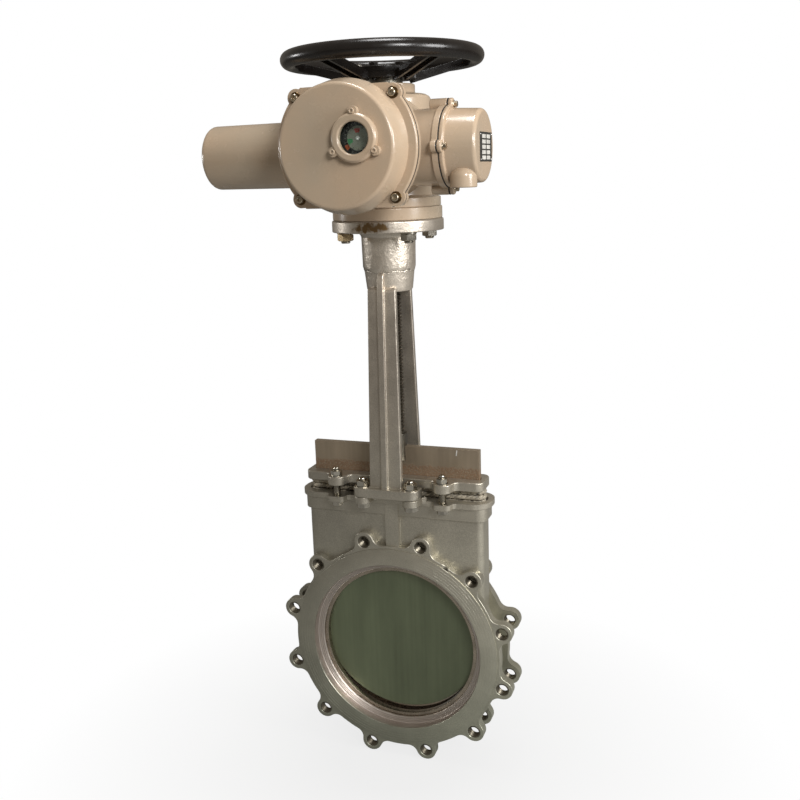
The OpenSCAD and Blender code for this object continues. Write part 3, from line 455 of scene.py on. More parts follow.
def eased(node, material, edge, steps=2, from_angle=30):
    """The node's own form with its sharp edges rounded by up to edge metres, standing for the node.

    Every run of edges has one width. A run whose rounding folds a face beside it is narrowed until it doesn't."""
    mesh = frame["nodes"][node].data.copy()
    work = bmesh.new()
    work.from_mesh(mesh)
    bmesh.ops.remove_doubles(work, verts=work.verts, dist=joined_gap)
    bmesh.ops.dissolve_limit(work, angle_limit=math.radians(flat_degrees), verts=work.verts, edges=work.edges)
    bmesh.ops.dissolve_degenerate(work, dist=joined_gap, edges=work.edges)
    work.normal_update()
    work.edges.index_update()
    sharp = {e for e in work.edges if len(e.link_faces) == 2 and e.calc_face_angle(0) > math.radians(from_angle)
             and min(face.calc_area() for face in e.link_faces) > sliver_area}
    runs = list(runs_of(sharp))
    shares = [min(1.0, room_of(run, sharp) / edge) for run in runs]
    runs = [[(e.index, [vert.co.copy() for vert in e.verts]) for e in run] for run in runs]
    work.to_mesh(mesh)
    work.free()
    mesh.materials.clear()
    mesh.materials.append(material)
    mesh.shade_smooth()
    piece = bpy.data.objects.new("eased_" + node, mesh)
    bpy.context.scene.collection.objects.link(piece)
    bevel = piece.modifiers.new("edges", "BEVEL")
    bevel.width = edge
    bevel.segments = steps
    bevel.limit_method = "WEIGHT"
    bevel.loop_slide = False
    bevel.use_clamp_overlap = False
    weights = mesh.attributes.new("bevel_weight_edge", "FLOAT", "EDGE")
    ends = [(end, number) for number, run in enumerate(runs) for index, pair in run for end in pair]
    near = KDTree(max(len(ends), 1))
    for place, (end, number) in enumerate(ends):
        near.insert(end, place)
    near.balance()
    for attempt in range(fold_tries):
        for run, share in zip(runs, shares):
            for index, pair in run:
                weights.data[index].value = share
        mesh.update()
        places = folds(piece)
        if not places:
            break
        reach = edge * (fold_reach + fold_reach_step * attempt)
        tight = {ends[found[1]][1] for place in places for found in near.find_range(place, reach)}
        for number in tight:
            shares[number] *= fold_step
    flat = piece.modifiers.new("flat_faces", "WEIGHTED_NORMAL")
    flat.weight = 100
    flat.keep_sharp = False
    return stand_for(piece, node)


def spun(outline_at, steps):
    """Points and faces of a form round z. outline_at gives its (radius, height) points at an angle."""
    points = []
    faces = []
    for step in range(steps):
        turn = math.tau * step / steps
        outline = outline_at(turn)
        points += [(r * math.cos(turn), r * math.sin(turn), z) for r, z in outline]
        count = len(outline)
        here = step * count
        there = (step + 1) % steps * count
        faces += [(here + i, there + i, there + i + 1, here + i + 1) for i in range(count - 1)]
    return points, faces


def lathed(outline, steps=48):
    """Points and faces of a form with one outline all the way round z."""
    return spun(lambda turn: outline, steps)


def screw_thread(radius, depth, pitch, low, high, steps=20, hand=1):
    """A thread along z with its crests at radius and its roots depth further in, or out if depth is negative."""
    outline = ((depth, 0.0), (0.0, 0.38), (0.0, 0.56), (depth, 0.94), (depth, 1.0))
    rows = round((high - low + pitch) / pitch * steps)
    points = []
    faces = []
    for row in range(rows + 1):
        turn = hand * math.tau * row / steps
        start = low - pitch + pitch * row / steps
        for inset, share in outline:
            reach = radius - inset
            height = min(max(start + share * pitch, low), high)
            points.append((reach * math.cos(turn), reach * math.sin(turn), height))
    count = len(outline)
    for row in range(rows):
        here = row * count
        faces += [(here + i, here + count + i, here + count + i + 1, here + i + 1) for i in range(count - 1)]
    return points, faces


def placed(form, at, axis=(0, 0, 1), turn=0.0):
    """Points and faces moved to a place, with their z axis along axis, after a turn about it."""
    points, faces = form
    swing = Vector(axis).to_track_quat("Z", "Y") @ Matrix.Rotation(turn, 3, "Z").to_quaternion()
    return [tuple(swing @ Vector(p) + Vector(at)) for p in points], faces


def gathered(forms):
    """Several forms as one list of points and one of faces."""
    points = []
    faces = []
    for form_points, form_faces in forms:
        start = len(points)
        points += form_points
        faces += [tuple(start + i for i in face) for face in form_faces]
    return points, faces


def stand_in(name, forms, material, node, smooth=25):
    """A piece made of several forms, shown in the node's place."""
    stand_for(mesh_piece(name, *gathered(forms), material, smooth), node)


def fit_on(name, forms, material, node, smooth=25):
    """A piece made of several forms, fitted on the node."""
    belong_to(mesh_piece(name, *gathered(forms), material, smooth), node)


def plain_finish(name, colour, rough, scale=300, bump=0.15, stretch=(1, 1, 1), metallic=1.0, spots=(0.72, 1.12)):
    """A worn metal or plastic finish: clouded colour, uneven gloss and a fine surface."""
    material, tree, shader = material_parts(name)
    tone = spread(tree, grain(tree, scale / 8, 4, stretch), 0.3, 0.7, *spots)
    gloss = spread(tree, grain(tree, scale, 3, stretch), 0.3, 0.7, rough * 0.8, rough * 1.2)
    finish(tree, toned(tree, colour, tone), gloss, metallic)
    bumps(tree, shader, (grain(tree, scale, 3, stretch), bump, 0.0002))
    return material


body_paint = casting_material("silver_body_paint", turned=True)
casting_paint = casting_material("silver_casting_paint")
eased("body_casting", body_paint, casting_edge, 3)

# Chest side walls
# The flat cast walls at the sides of the chest, at the foot of the packing chamber. They are one with the
# casting and painted with it, and close a slit that the chamber leaves in the casting's own form.
wall_x = (0.15904, 0.1570)
wall_y = (0.0272, 0.0508)
wall_z = (0.2352, 0.2452)


def side_wall(side):
    """A plain bar in one side of the chest, from its outer face inward."""
    corners = [(side * x, y, z) for x in wall_x for y in wall_y for z in wall_z]
    return corners, [(0, 1, 3, 2), (4, 6, 7, 5), (0, 4, 5, 1), (2, 3, 7, 6), (0, 2, 6, 4), (1, 5, 7, 3)]


fit_on("chest_side_walls", [side_wall(-1), side_wall(1)], body_paint, "body_casting", None)

# Raised faces
# The raised face of each flange is a turned ring round the mouth. The fine lines on it hold the gasket. They
# are cut in the lathe and painted over, and three steps of the same cut show on the floor of the mouth.
face_front = 0.0
face_back = 0.078
raised_r = 0.185
ring_lap = 0.0001
ring_skin = 0.00005
face_line_radii = [0.1600 + 0.0048 * step for step in range(5)]
face_line_size = (0.0007, 0.00022)
mouth_depth = 0.017
mouth_line_radii = (0.1447, 0.1480, 0.1512)
mouth_line_size = (0.0012, 0.0005)


def face_line(radius, at, out, size):
    """A fine turned ridge at a depth along the bore, standing toward out."""
    wide, high = size
    ridge = [(radius - wide / 2, 0.0), (radius, high), (radius + wide / 2, 0.0)]
    return placed(lathed(ridge, 128), (0, at, 0), (0, out, 0))


def raised_ring(at, out):
    """A turned face with its edges eased, a hair in front of the casting's own."""
    inner = mouth_r - ring_lap
    outer = raised_r + ring_lap
    outline = [(inner, -0.0016), (inner, -0.0007), (inner + 0.0006, ring_skin), (outer - 0.0012, ring_skin),
               (outer - 0.0004, -0.0003), (outer, -0.0011), (outer, -0.0019)]
    return placed(lathed(outline, 192), (0, at, 0), (0, out, 0))


raised_rings = [raised_ring(face_front, -1), raised_ring(face_back, 1)]
fit_on("raised_face_rings", raised_rings, body_paint, "body_casting", 50)
face_lines = [face_line(r, at, out, size)
              for radii, depth, size in ((face_line_radii, 0, face_line_size),
                                         (mouth_line_radii, mouth_depth, mouth_line_size))
              for at, out in ((face_front + depth, -1), (face_back - depth, 1)) for r in radii]
fit_on("flange_face_lines", face_lines, body_paint, "body_casting", 60)

# Tapped holes
# Each of the twelve lugs on either side has a tapped hole for a flange bolt, cut through the paint to bare
# steel. The four front holes over the chest are blind.
hole_r = 0.0105
hole_pcd_r = 0.200
hole_pitch = 0.0025
hole_thread_depth = 0.0012
lug_front = 0.002
lug_t = 0.017
blind_depth = 0.024
tapped_steel = plain_finish("tapped_steel", (0.20, 0.18, 0.14), 0.35, 500, 0.2)


def tapped_hole(angle, front):
    turn = math.radians(angle)
    over_chest = abs((angle + 180) % 360 - 180) < 50
    depth = blind_depth if over_chest else lug_t
    at = lug_front if front else face_back - lug_front
    inward = 1 if front else -1
    form = screw_thread(hole_r - hole_thread_depth, -hole_thread_depth, hole_pitch, 0.0006, depth - 0.0004)
    return placed(form, (hole_pcd_r * math.sin(turn), at, hole_pcd_r * math.cos(turn)), (0, inward, 0))


lug_angles = [15 + 30 * step for step in range(12)]
threads = [tapped_hole(angle, front) for angle in lug_angles for front in (True, False)]
fit_on("lug_threads", threads, tapped_steel, "body_casting")

# Seat rings
# Two turned stainless rings are pressed into the body, one on each side of the gate. They seal on its ground
# faces.
seat_steel = plain_finish("turned_seat_steel", (0.42, 0.36, 0.29), 0.30)
eased("seat_rings", seat_steel, 0.0006)

# Packing
# Six turns of square braided rope, soaked in tallow and dusty where they stand out of the box, are pressed
# round the gate by the gland.
rope_w = 0.0095
rope_turns = 6
rope_strands = 3
strand_swing = 0.22
strand_r = 0.27
rope_twist = 0.026
rope_corner = 0.012
rope_spacing = 0.0026
packing_low, packing_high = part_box("packing")
packing_centre = (packing_low + packing_high) / 2


def rounded_loop(half_x, half_y, corner, spacing):
    """Points along a rectangle with round corners, about spacing apart, on z = 0."""
    sides = ((2 * (half_x - corner), half_y), (2 * (half_y - corner), half_x)) * 2
    arc = corner * math.pi / 2
    total = sum(straight for straight, deep in sides) + 4 * arc
    count = round(total / spacing)
    loop = []
    for step in range(count):
        along = total * step / count
        for side, (straight, deep) in enumerate(sides):
            if along < straight:
                local = Vector((along - straight / 2, -deep, 0))
                break
            along -= straight
            if along < arc:
                swing = along / corner
                local = Vector((straight / 2 + corner * math.sin(swing),
                                -deep + corner - corner * math.cos(swing), 0))
                break
            along -= arc
        loop.append(Matrix.Rotation(side * math.pi / 2, 3, "Z") @ local)
    return loop, total


def tube(path, radius, sides=6):
    """Points and faces of a closed tube along a closed path."""
    points = []
    faces = []
    count = len(path)
    for step in range(count):
        along = (path[(step + 1) % count] - path[step - 1]).normalized()
        side = along.cross(Vector((0, 0, 1))).normalized()
        top = side.cross(along)
        for spoke in range(sides):
            turn = math.tau * spoke / sides
            points.append(tuple(path[step] + radius * (math.cos(turn) * side + math.sin(turn) * top)))
        here = step * sides
        there = (step + 1) % count * sides
        faces += [(here + i, there + i, there + (i + 1) % sides, here + (i + 1) % sides) for i in range(sides)]
    return points, faces


def braided_rope(height, hand):
    """One turn of rope: strands laid round each other along a rectangle with round corners."""
    half_x = (packing_high.x - packing_low.x) / 2 - rope_w / 2
    half_y = (packing_high.y - packing_low.y) / 2 - rope_w / 2
    loop, total = rounded_loop(half_x, half_y, rope_corner, rope_spacing)
    twists = round(total / rope_twist)
    forms = []
    for strand in range(rope_strands):
        path = []
        for step, point in enumerate(loop):
            along = (loop[(step + 1) % len(loop)] - loop[step - 1]).normalized()
            side = along.cross(Vector((0, 0, 1)))
            turn = hand * math.tau * (twists * step / len(loop) + strand / rope_strands)
            swing = side * math.cos(turn) + Vector((0, 0, 1)) * math.sin(turn)
            path.append(point + swing * rope_w * strand_swing)
        forms.append(tube(path, rope_w * strand_r))
    return placed(gathered(forms), (packing_centre.x, packing_centre.y, height))


rope_fibre = plain_finish("greased_rope", (0.36, 0.32, 0.25), 0.6, 900, 0.8, metallic=0.0, spots=(0.25, 1.45))
rope_heights = [packing_high.z - rope_w * (turn + 0.5) for turn in range(rope_turns)]
ropes = [braided_rope(height, 1 if turn % 2 else -1) for turn, height in enumerate(rope_heights)]
stand_in("packing_ropes", ropes, rope_fibre, "packing", 60)

# Gland frame
# A cast steel frame round the gate, with four ears. The gland bolts draw it down on the packing. It is painted
# like the body.
eased("gland_follower", casting_paint, 0.0022, 3)

# Gland bolts, foot bolts and flange studs
# Hexagon bolts and nuts of bright stainless steel hold the gland and the yoke's feet. The studs under the
# actuator have nuts of the same steel, but for one that is plated yellow.
bolt_steel = plain_finish("bright_bolt_steel", (0.50, 0.47, 0.41), 0.22)
yellow_zinc = plain_finish("yellow_zinc", (0.50, 0.38, 0.22), 0.28)
tip_lead = 0.0012
washer_share = 0.56
clamp_washer_t = 0.0016


def solids_of(node):
    """The lowest and highest corners of each separate solid in a node."""
    work = bmesh.new()
    work.from_mesh(frame["nodes"][node].data)
    bmesh.ops.remove_doubles(work, verts=work.verts, dist=joined_gap)
    boxes = []
    seen = set()
    for vert in work.verts:
        if vert in seen:
            continue
        seen.add(vert)
        stack = [vert]
        found = []
        while stack:
            here = stack.pop()
            found.append(here.co.copy())
            for edge in here.link_edges:
                other = edge.other_vert(here)
                if other not in seen:
                    seen.add(other)
                    stack.append(other)
        boxes.append((Vector([min(p[i] for p in found) for i in range(3)]),
                      Vector([max(p[i] for p in found) for i in range(3)])))
    work.free()
    return boxes


def hex_reach(inner, turn):
    """How far a hexagon with its flats inner away reaches at an angle, a corner on x."""
    return inner / math.cos(turn % (math.pi / 3) - math.pi / 6)


def hexagon(flats, low, high, bore=0.0, turned_low=True, turned_high=True):
    """A hexagon along z, a corner on x, with its corners turned off at 30 degrees where asked."""
    inner = flats / 2
    lead = inner * 0.94

    def outline(turn):
        corner = hex_reach(inner, turn)
        drop = (corner - lead) * math.tan(math.radians(30))
        return ((bore, high), (lead if turned_high else corner, high), (corner, high - drop * turned_high),
                (corner, low + drop * turned_low), (lead if turned_low else corner, low), (bore, low))

    return spun(outline, 48)


def flat_ring(inner, outer, low, high):
    """A plain washer along z between two heights."""
    return lathed([(inner, low), (outer, low), (outer, high), (inner, high)])


def bolt_shank(radius, pitch, low, thread_low, thread_high):
    """A round shank along z with a thread on its end and a small lead-in at the tip."""
    depth = 0.62 * pitch
    core = radius - depth
    plain = lathed([(0, low), (radius, low), (radius, thread_low), (core, thread_low), (core, thread_high),
                    (core - tip_lead / 2, thread_high + tip_lead), (0, thread_high + tip_lead)], 24)
    return gathered([plain, screw_thread(radius, depth, pitch, thread_low, thread_high)])


def middle(low, high, z=0.0):
    return ((low.x + high.x) / 2, (low.y + high.y) / 2, z)


def clamp_bolts(name, node, nut_node, flats, radius, head_h, pitch):
    """Bolts with their heads below and nuts above, for the gland and the feet."""
    shanks = []
    for low, high in solids_of(node):
        at = middle(low, high)
        head = hexagon(flats, low.z, low.z + head_h, turned_high=False)
        shank = bolt_shank(radius, pitch, low.z + head_h, low.z + 2.2 * head_h, high.z - tip_lead)
        shanks += [placed(head, at), placed(shank, at)]
    stand_in(name + "_bolt_set", shanks, bolt_steel, node)
    nuts = []
    for low, high in solids_of(nut_node):
        at = middle(low, high)
        seat = low.z + clamp_washer_t
        washer = flat_ring(radius, flats * washer_share, low.z, seat)
        nut = hexagon(flats * 0.97, seat, high.z, bore=radius)
        nuts += [placed(washer, at), placed(nut, at, turn=random.random())]
    stand_in(name + "_nut_set", nuts, bolt_steel, nut_node)


random.seed(12)
clamp_bolts("gland", "gland_bolts", "gland_nuts", flats=0.018, radius=0.006, head_h=0.0078, pitch=0.00175)
clamp_bolts("foot", "foot_bolts", "foot_nuts", flats=0.021, radius=0.007, head_h=0.0091, pitch=0.0020)

flange_flats = 0.0238
flange_r = 0.008
flange_pitch = 0.002
flange_thread = 0.036
flange_washer_t = 0.002
studs = []
for low, high in solids_of("flange_studs"):
    length = high.z - low.z
    shank = bolt_shank(flange_r, flange_pitch, 0, length - flange_thread, length - tip_lead)
    studs.append(placed(shank, middle(low, high, high.z), (0, 0, -1)))
stand_in("flange_stud_set", studs, bolt_steel, "flange_studs")
plain_nuts = []
yellow_nuts = []
for low, high in solids_of("flange_nuts"):
    at = middle(low, high)
    seat = high.z - flange_washer_t
    washer = flat_ring(flange_r, flange_flats * washer_share, seat, high.z)
    nut = hexagon(flange_flats * 0.95, low.z, seat, bore=flange_r)
    front_left = low.x < 0 and low.y < 0
    chosen = yellow_nuts if front_left else plain_nuts
    chosen += [placed(washer, at), placed(nut, at, turn=random.random())]
stand_in("flange_nut_set", plain_nuts, bolt_steel, "flange_nuts")
fit_on("yellow_flange_nut", yellow_nuts, yellow_zinc, "flange_nuts")

# Yoke
# A cast yoke of two ribbed legs that stand on foot plates and join in a neck under the actuator, painted like
# the body, with an uneven seam of the mould round the neck and a smear of brown paint on the front of its flange.
smear_colour = (0.185, 0.115, 0.050)
smear_place = (0.004, 0.735)
smear_reach = (0.034, 0.010)
seam_z = 0.664
seam_half = 0.0014
seam_wave = 0.024
neck_low = (0.640, 0.650)
neck_high = (0.722, 0.712)
# The neck's paint is 0.82 at its left side and 1.34 from its middle rightward: painted shade and a painted
# highlight, not paint.
neck_painted_light = (0.82, 1.34)
neck_painted_light_reach = (-0.036, -0.008)
neck_painted_light_low = (0.590, 0.640)
neck_painted_light_high = (0.722, 0.716)


def yoke_material():
    material = casting_material("silver_yoke_paint")
    tree = material.node_tree
    shader = tree.nodes["Principled BSDF"]
    paint = shader.inputs["Base Color"].links[0].from_socket
    x, y, z = split(tree, place_socket(tree))
    across = sum_of(tree, "DIVIDE", minus(tree, x, smear_place[0]), smear_reach[0])
    up = sum_of(tree, "DIVIDE", minus(tree, z, smear_place[1]), smear_reach[1])
    reach = plus(tree, times(tree, across, across), times(tree, up, up))
    ragged = plus(tree, reach, times(tree, grain(tree, 130, 4), 2.4))
    smear = times(tree, spread(tree, ragged, 2.0, 1.5), sum_of(tree, "LESS_THAN", y, 0.0))
    paint = blended(tree, smear, paint, smear_colour)
    wavy = plus(tree, z, times(tree, grain(tree, 55, 3), seam_wave))
    seam = sum_of(tree, "ABSOLUTE", minus(tree, wavy, seam_z + seam_wave / 2))
    seam = spread(tree, seam, seam_half, 0.0)
    # The neck is toned from dark at its left to light from its middle rightward: painted shade and painted
    # highlight.
    neck = sum_of(tree, "MINIMUM", spread(tree, z, *neck_low), spread(tree, z, *neck_high))
    light = minus(tree, spread(tree, x, *neck_painted_light_reach, *neck_painted_light), 1.0)
    light = times(tree, light, spread(tree, z, *neck_painted_light_low))
    light = times(tree, light, spread(tree, z, *neck_painted_light_high))
    paint = toned(tree, paint, plus(tree, light, 1.0))
    tree.links.new(toned(tree, paint, spread(tree, seam, 0, 1, 1.0, 0.55)), shader.inputs["Base Color"])
    skin = times(tree, minus(tree, grain(tree, 190, 3), seam), neck)
    rough_skin = add(tree, "ShaderNodeBump", Strength=0.6, Distance=0.0012)
    tree.links.new(skin, rough_skin.inputs["Height"])
    tree.links.new(shader.inputs["Normal"].links[0].from_socket, rough_skin.inputs["Normal"])
    tree.links.new(rough_skin.outputs["Normal"], shader.inputs["Normal"])
    return material


yoke_paint = yoke_material()
eased("yoke", yoke_paint, 0.0034, 4)

# Neck bush
# A turned bronze bush that guides the stem where it passes through the top of the yoke. It is pressed into
# the neck.
bronze = plain_finish("cast_bronze", (0.55, 0.36, 0.16), 0.35)
eased("stem_bush", bronze, 0.0004, 1)

# Gate
# A ground stainless plate that slides between the seats. The grinding runs up and down, the part above the
# gland is dull, with a band of rusty grease where it leaves the packing and one fresh scratch.
# Low down, in the mouth, the gate's colour turns dark green-grey: a painted reflection of a green room, and darker
# towards the bottom.
gate_low_painted_reflection_colour = (0.150, 0.175, 0.108)
gate_high_colour = (0.340, 0.275, 0.200)
gate_painted_reflection_heights = (0.12, 0.30)
gate_metallic = 0.55
grease_colour = (0.270, 0.180, 0.115)
grease_low = 0.25
grease_edge = (0.3385, 0.3345)
scratch_colour = (0.9, 0.88, 0.84)
scratch_place = (0.1106, 0.3565)
scratch_half = (0.0009, 0.0048)
scratch_slant = 0.12


def gate_material():
    material, tree, shader = material_parts("ground_gate_steel")
    x, y, z = split(tree, place_socket(tree))
    # Darker and green-grey towards the bottom by height: painted green reflection.
    tone = blended(tree, spread(tree, z, *gate_painted_reflection_heights), gate_low_painted_reflection_colour, gate_high_colour)
    ground = grain(tree, 160, 5, (1, 1, 0.02))
    streaks = spread(tree, ground, 0.32, 0.68, 0.93, 1.06)
    clouds = spread(tree, grain(tree, 16, 4, (1, 1, 0.25)), 0.3, 0.7, 0.82, 1.18)
    tone = toned(tree, toned(tree, tone, streaks), clouds)
    ragged = plus(tree, z, times(tree, grain(tree, 120, 4), 0.012))
    grease = spread(tree, ragged, *grease_edge)
    grease = times(tree, grease, sum_of(tree, "GREATER_THAN", z, grease_low))
    grease = times(tree, grease, spread(tree, grain(tree, 300, 3), 0.38, 0.54, 0.25, 1.0))
    tone = blended(tree, grease, tone, grease_colour)
    off_x = minus(tree, x, scratch_place[0])
    off_z = minus(tree, z, scratch_place[1])
    off_x = sum_of(tree, "ABSOLUTE", minus(tree, off_x, times(tree, off_z, scratch_slant)))
    thin = sum_of(tree, "LESS_THAN", off_x, scratch_half[0])
    short = sum_of(tree, "LESS_THAN", sum_of(tree, "ABSOLUTE", off_z), scratch_half[1])
    scratch = times(tree, thin, short)
    tone = blended(tree, scratch, tone, scratch_colour)
    rough = spread(tree, ground, 0.3, 0.7, 0.34, 0.42)
    finish(tree, tone, plus(tree, rough, times(tree, grease, 0.2)), gate_metallic)
    bumps(tree, shader, (grain(tree, 420, 3, (1, 1, 0.03)), 0.10, 0.0001), (grease, 0.5, 0.0006))
    return material


eased("gate", gate_material(), 0.0006)

# Clevis and pin
# The clevis is a turned steel fork, screwed on the stem's foot. A steel pin through both its arms holds the
# gate in it.
dark_steel = plain_finish("dull_turned_steel", (0.20, 0.185, 0.155), 0.34)
eased("stem_clevis", dark_steel, 0.0008)
eased("clevis_pin", dark_steel, 0.0008)

# Stem
# The stem rises with the gate. It is a steel screw with a left-hand trapezoidal thread for the nut in the
# actuator, and a plain foot that is screwed into the clevis.
stem_pitch = 0.006
stem_thread_depth = 0.003
stem_low, stem_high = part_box("stem")
stem_r = (stem_high.x - stem_low.x) / 2
stem_at = middle(stem_low, stem_high)
clevis_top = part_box("stem_clevis")[1].z
stem_core = stem_r - stem_thread_depth
stem_lead = 0.002
foot_top = clevis_top + 0.004
thread_low = clevis_top + 0.007
thread_high = stem_high.z - stem_lead
stem_body = lathed([(0, stem_low.z), (stem_r, stem_low.z), (stem_r, foot_top), (stem_core, thread_low),
                    (stem_core, thread_high), (stem_core - stem_lead, stem_high.z), (0, stem_high.z)])
stem_thread = screw_thread(stem_r, stem_thread_depth, stem_pitch, thread_low, thread_high, 32, -1)
stem_steel = plain_finish("greased_screw_steel", (0.17, 0.15, 0.12), 0.30)
stand_in("rising_stem", [placed(gathered([stem_body, stem_thread]), stem_at)], stem_steel, "stem")

# Base plate and gear housing
# Cast aluminium shells in glossy beige enamel: the round base plate, the gear drum with its flange for the
# cover, the shoulders for the motor and the terminal box, and the boss under the handwheel.
enamel_colour = (0.500, 0.368, 0.252)
enamel_shade = (0.420, 0.340, 0.250)


def enamel_material():
    material, tree, shader = material_parts("beige_enamel")
    clouds = spread(tree, grain(tree, 6, 4), 0.35, 0.65)
    tone = blended(tree, clouds, enamel_shade, enamel_colour)
    dust = spread(tree, grain(tree, 700, 2), 0.35, 0.65, 0.97, 1.03)
    finish(tree, toned(tree, tone, dust), spread(tree, grain(tree, 28, 4), 0.3, 0.7, 0.20, 0.30))
    shader.inputs["Coat Weight"].default_value = 0.35
    shader.inputs["Coat Roughness"].default_value = 0.12
    bumps(tree, shader, (grain(tree, 70, 4), 0.20, 0.0007), (grain(tree, 600, 2), 0.08, 0.0002))
    return material


enamel = enamel_material()
eased("base_plate", enamel, 0.0010)
eased("gear_housing", enamel, 0.0018, 3)
eased("base_screws", dark_steel, 0.0005)

# Drive inside the housing
# The sleeve with the bronze stem nut turns in two bearings, and the worm and its wheel join it to the motor.
bearing_steel = plain_finish("bearing_steel", (0.55, 0.54, 0.52), 0.22)
eased("drive_sleeve", dark_steel, 0.0008)
eased("stem_nut", bronze, 0.0004, 1)
eased("worm_wheel", bronze, 0.0004, 1)
for node in ("lower_bearing", "upper_bearing", "worm_shaft", "worm_bearings"):
    eased(node, bearing_steel, 0.0004, 1)

# Motor
# A plain closed can of the same enamel on the left of the drum, held by four small screws. Its core is
# laminated steel with copper windings.
eased("motor_housing", enamel, 0.0018, 3)
laminated_steel = plain_finish("laminated_steel", (0.30, 0.29, 0.27), 0.45, 600, 0.4, (30, 1, 1))
copper_winding = plain_finish("lacquered_winding", (0.50, 0.20, 0.08), 0.35, 800, 0.5)
eased("rotor_core", laminated_steel, 0.0003, 1)
eased("stator_core", copper_winding, 0.0003, 1)


def socket_screw(head_r, head_h, shank_r, length):
    """A socket head screw along z with its head's top at z = 0."""
    socket_r = head_r * 0.52
    socket_depth = head_h * 0.55
    chamfer = head_r * 0.14
    rim = (socket_r * 1.08, -0.0002)

    def hollow(turn):
        wall = hex_reach(socket_r * math.cos(math.pi / 6), turn)
        return rim, (wall, -socket_depth * 0.2), (wall, -socket_depth), (0, -socket_depth)

    head = lathed([rim, (head_r - chamfer, 0), (head_r, -chamfer), (head_r, -head_h),
                   (shank_r, -head_h), (shank_r, -length), (0, -length)], 36)
    return gathered([head, spun(hollow, 36)])


def socket_screws(node, axis, head_h, shank_r):
    """A socket screw for each solid of a node, with its head at the low end of axis 0 or 1."""
    screws = []
    for low, high in solids_of(node):
        at = (low + high) / 2
        at[axis] = low[axis]
        out = (-1, 0, 0) if axis == 0 else (0, -1, 0)
        head_r = (high[1 - axis] - low[1 - axis]) / 2
        screws.append(placed(socket_screw(head_r, head_h, shank_r, high[axis] - low[axis]), at, out))
    return screws


def washer_ring(inner, outer, thick, z):
    """A flat ring along z on height z, with its outer edge eased."""
    ease = thick * 0.35
    top = z + thick
    return lathed([(inner, z), (inner, top), (outer - ease, top), (outer, top - ease), (outer, z)], 40)


screw_pale = plain_finish("zinc_screw_steel", (0.58, 0.50, 0.38), 0.28)
motor_screws = socket_screws("motor_screws", axis=0, head_h=0.005, shank_r=0.0025)
stand_in("motor_screw_set", motor_screws, yellow_zinc, "motor_screws")

# Control cover
# A deep round cover on the front of the drum, cast and enamelled like it, on a rubber gasket, with four
# socket screws in lugs. Each stands on a washer coloured dark brown, which is painted shadow round the screw head.
rubber = plain_finish("black_rubber", (0.020, 0.020, 0.020), 0.7, 500, 0.2, metallic=0.0)
zinc_tin = plain_finish("zinc_plate", (0.45, 0.44, 0.42), 0.35)
eased("control_cover", enamel, 0.0030, 4)
eased("cover_gasket", rubber, 0.0002, 1)
eased("control_plate", zinc_tin, 0.0003, 1)
cover_lug_t = 0.008
cover_lug_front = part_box("control_cover")[1].y - cover_lug_t
cover_shank_r = 0.004
cover_washer_t = 0.0013
# The washers' dark brown is painted shadow round each pale screw head.
shadow_dark_washer_finish = plain_finish("shadow_dark_washer", (0.150, 0.095, 0.045), 0.35)
cover_screw_set = []
cover_washer_set = []
for low, high in solids_of("cover_screws"):
    centre = (low + high) / 2
    radius = (high.x - low.x) / 2
    screw = socket_screw(radius * 0.86, cover_lug_front - low.y - 0.0012, cover_shank_r, high.y - low.y)
    cover_screw_set.append(placed(screw, (centre.x, low.y, centre.z), (0, -1, 0), centre.x))
    washer = washer_ring(cover_shank_r, radius * 1.30, cover_washer_t, 0)
    cover_washer_set.append(placed(washer, (centre.x, cover_lug_front, centre.z), (0, -1, 0)))
stand_in("cover_screw_set", cover_screw_set, screw_pale, "cover_screws")
fit_on("cover_washer_set", cover_washer_set, shadow_dark_washer_finish, "cover_screws")

# Sight glass
# A thick glass in a round enamelled bezel that three small screws hold to the cover. Behind it are a black
# dial and the pale disc that turns with the gate, with a red and a green field.
eased("sight_bezel", enamel, 0.0016, 3)
glass_colour = (0.86, 0.90, 0.86)
glass_bend = 1.2
bezel_screws = socket_screws("bezel_screws", axis=1, head_h=0.0035, shank_r=0.002)
stand_in("bezel_screw_set", bezel_screws, enamel, "bezel_screws")


def glass_material():
    material, tree, shader = material_parts("clear_glass")
    finish(tree, glass_colour, spread(tree, grain(tree, 60, 3), 0.3, 0.7, 0.0, 0.03))
    shader.inputs["Transmission Weight"].default_value = 1.0
    shader.inputs["IOR"].default_value = glass_bend
    clear = add(tree, "ShaderNodeBsdfTransparent")
    mixed(tree, either_ray(tree, "Is Shadow Ray", "Is Diffuse Ray"), shader, clear, "Material Output")
    return material


eased("sight_glass", glass_material(), 0.0005)

dial_black = plain_finish("dial_black", (0.014, 0.014, 0.013), 0.55, 500, 0.1, metallic=0.0)
disc_grey = plain_finish("disc_grey", (0.190, 0.205, 0.165), 0.45, 500, 0.1, metallic=0.0)
field_red = plain_finish("field_red", (0.36, 0.035, 0.022), 0.5, 500, 0.1, metallic=0.0)
field_green = plain_finish("field_green", (0.030, 0.190, 0.070), 0.5, 500, 0.1, metallic=0.0)
pointer_orange = plain_finish("pointer_orange", (0.42, 0.080, 0.020), 0.5, 500, 0.1, metallic=0.0)
eased("dial_plate", dial_black, 0.0003, 1)
eased("indicator_disc", disc_grey, 0.0003, 1)
disc_low, disc_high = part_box("indicator_disc")
disc_at = Vector(((disc_low.x + disc_high.x) / 2, disc_low.y, (disc_low.z + disc_high.z) / 2))
disc_r = (disc_high.x - disc_low.x) / 2
print_t = 0.00025


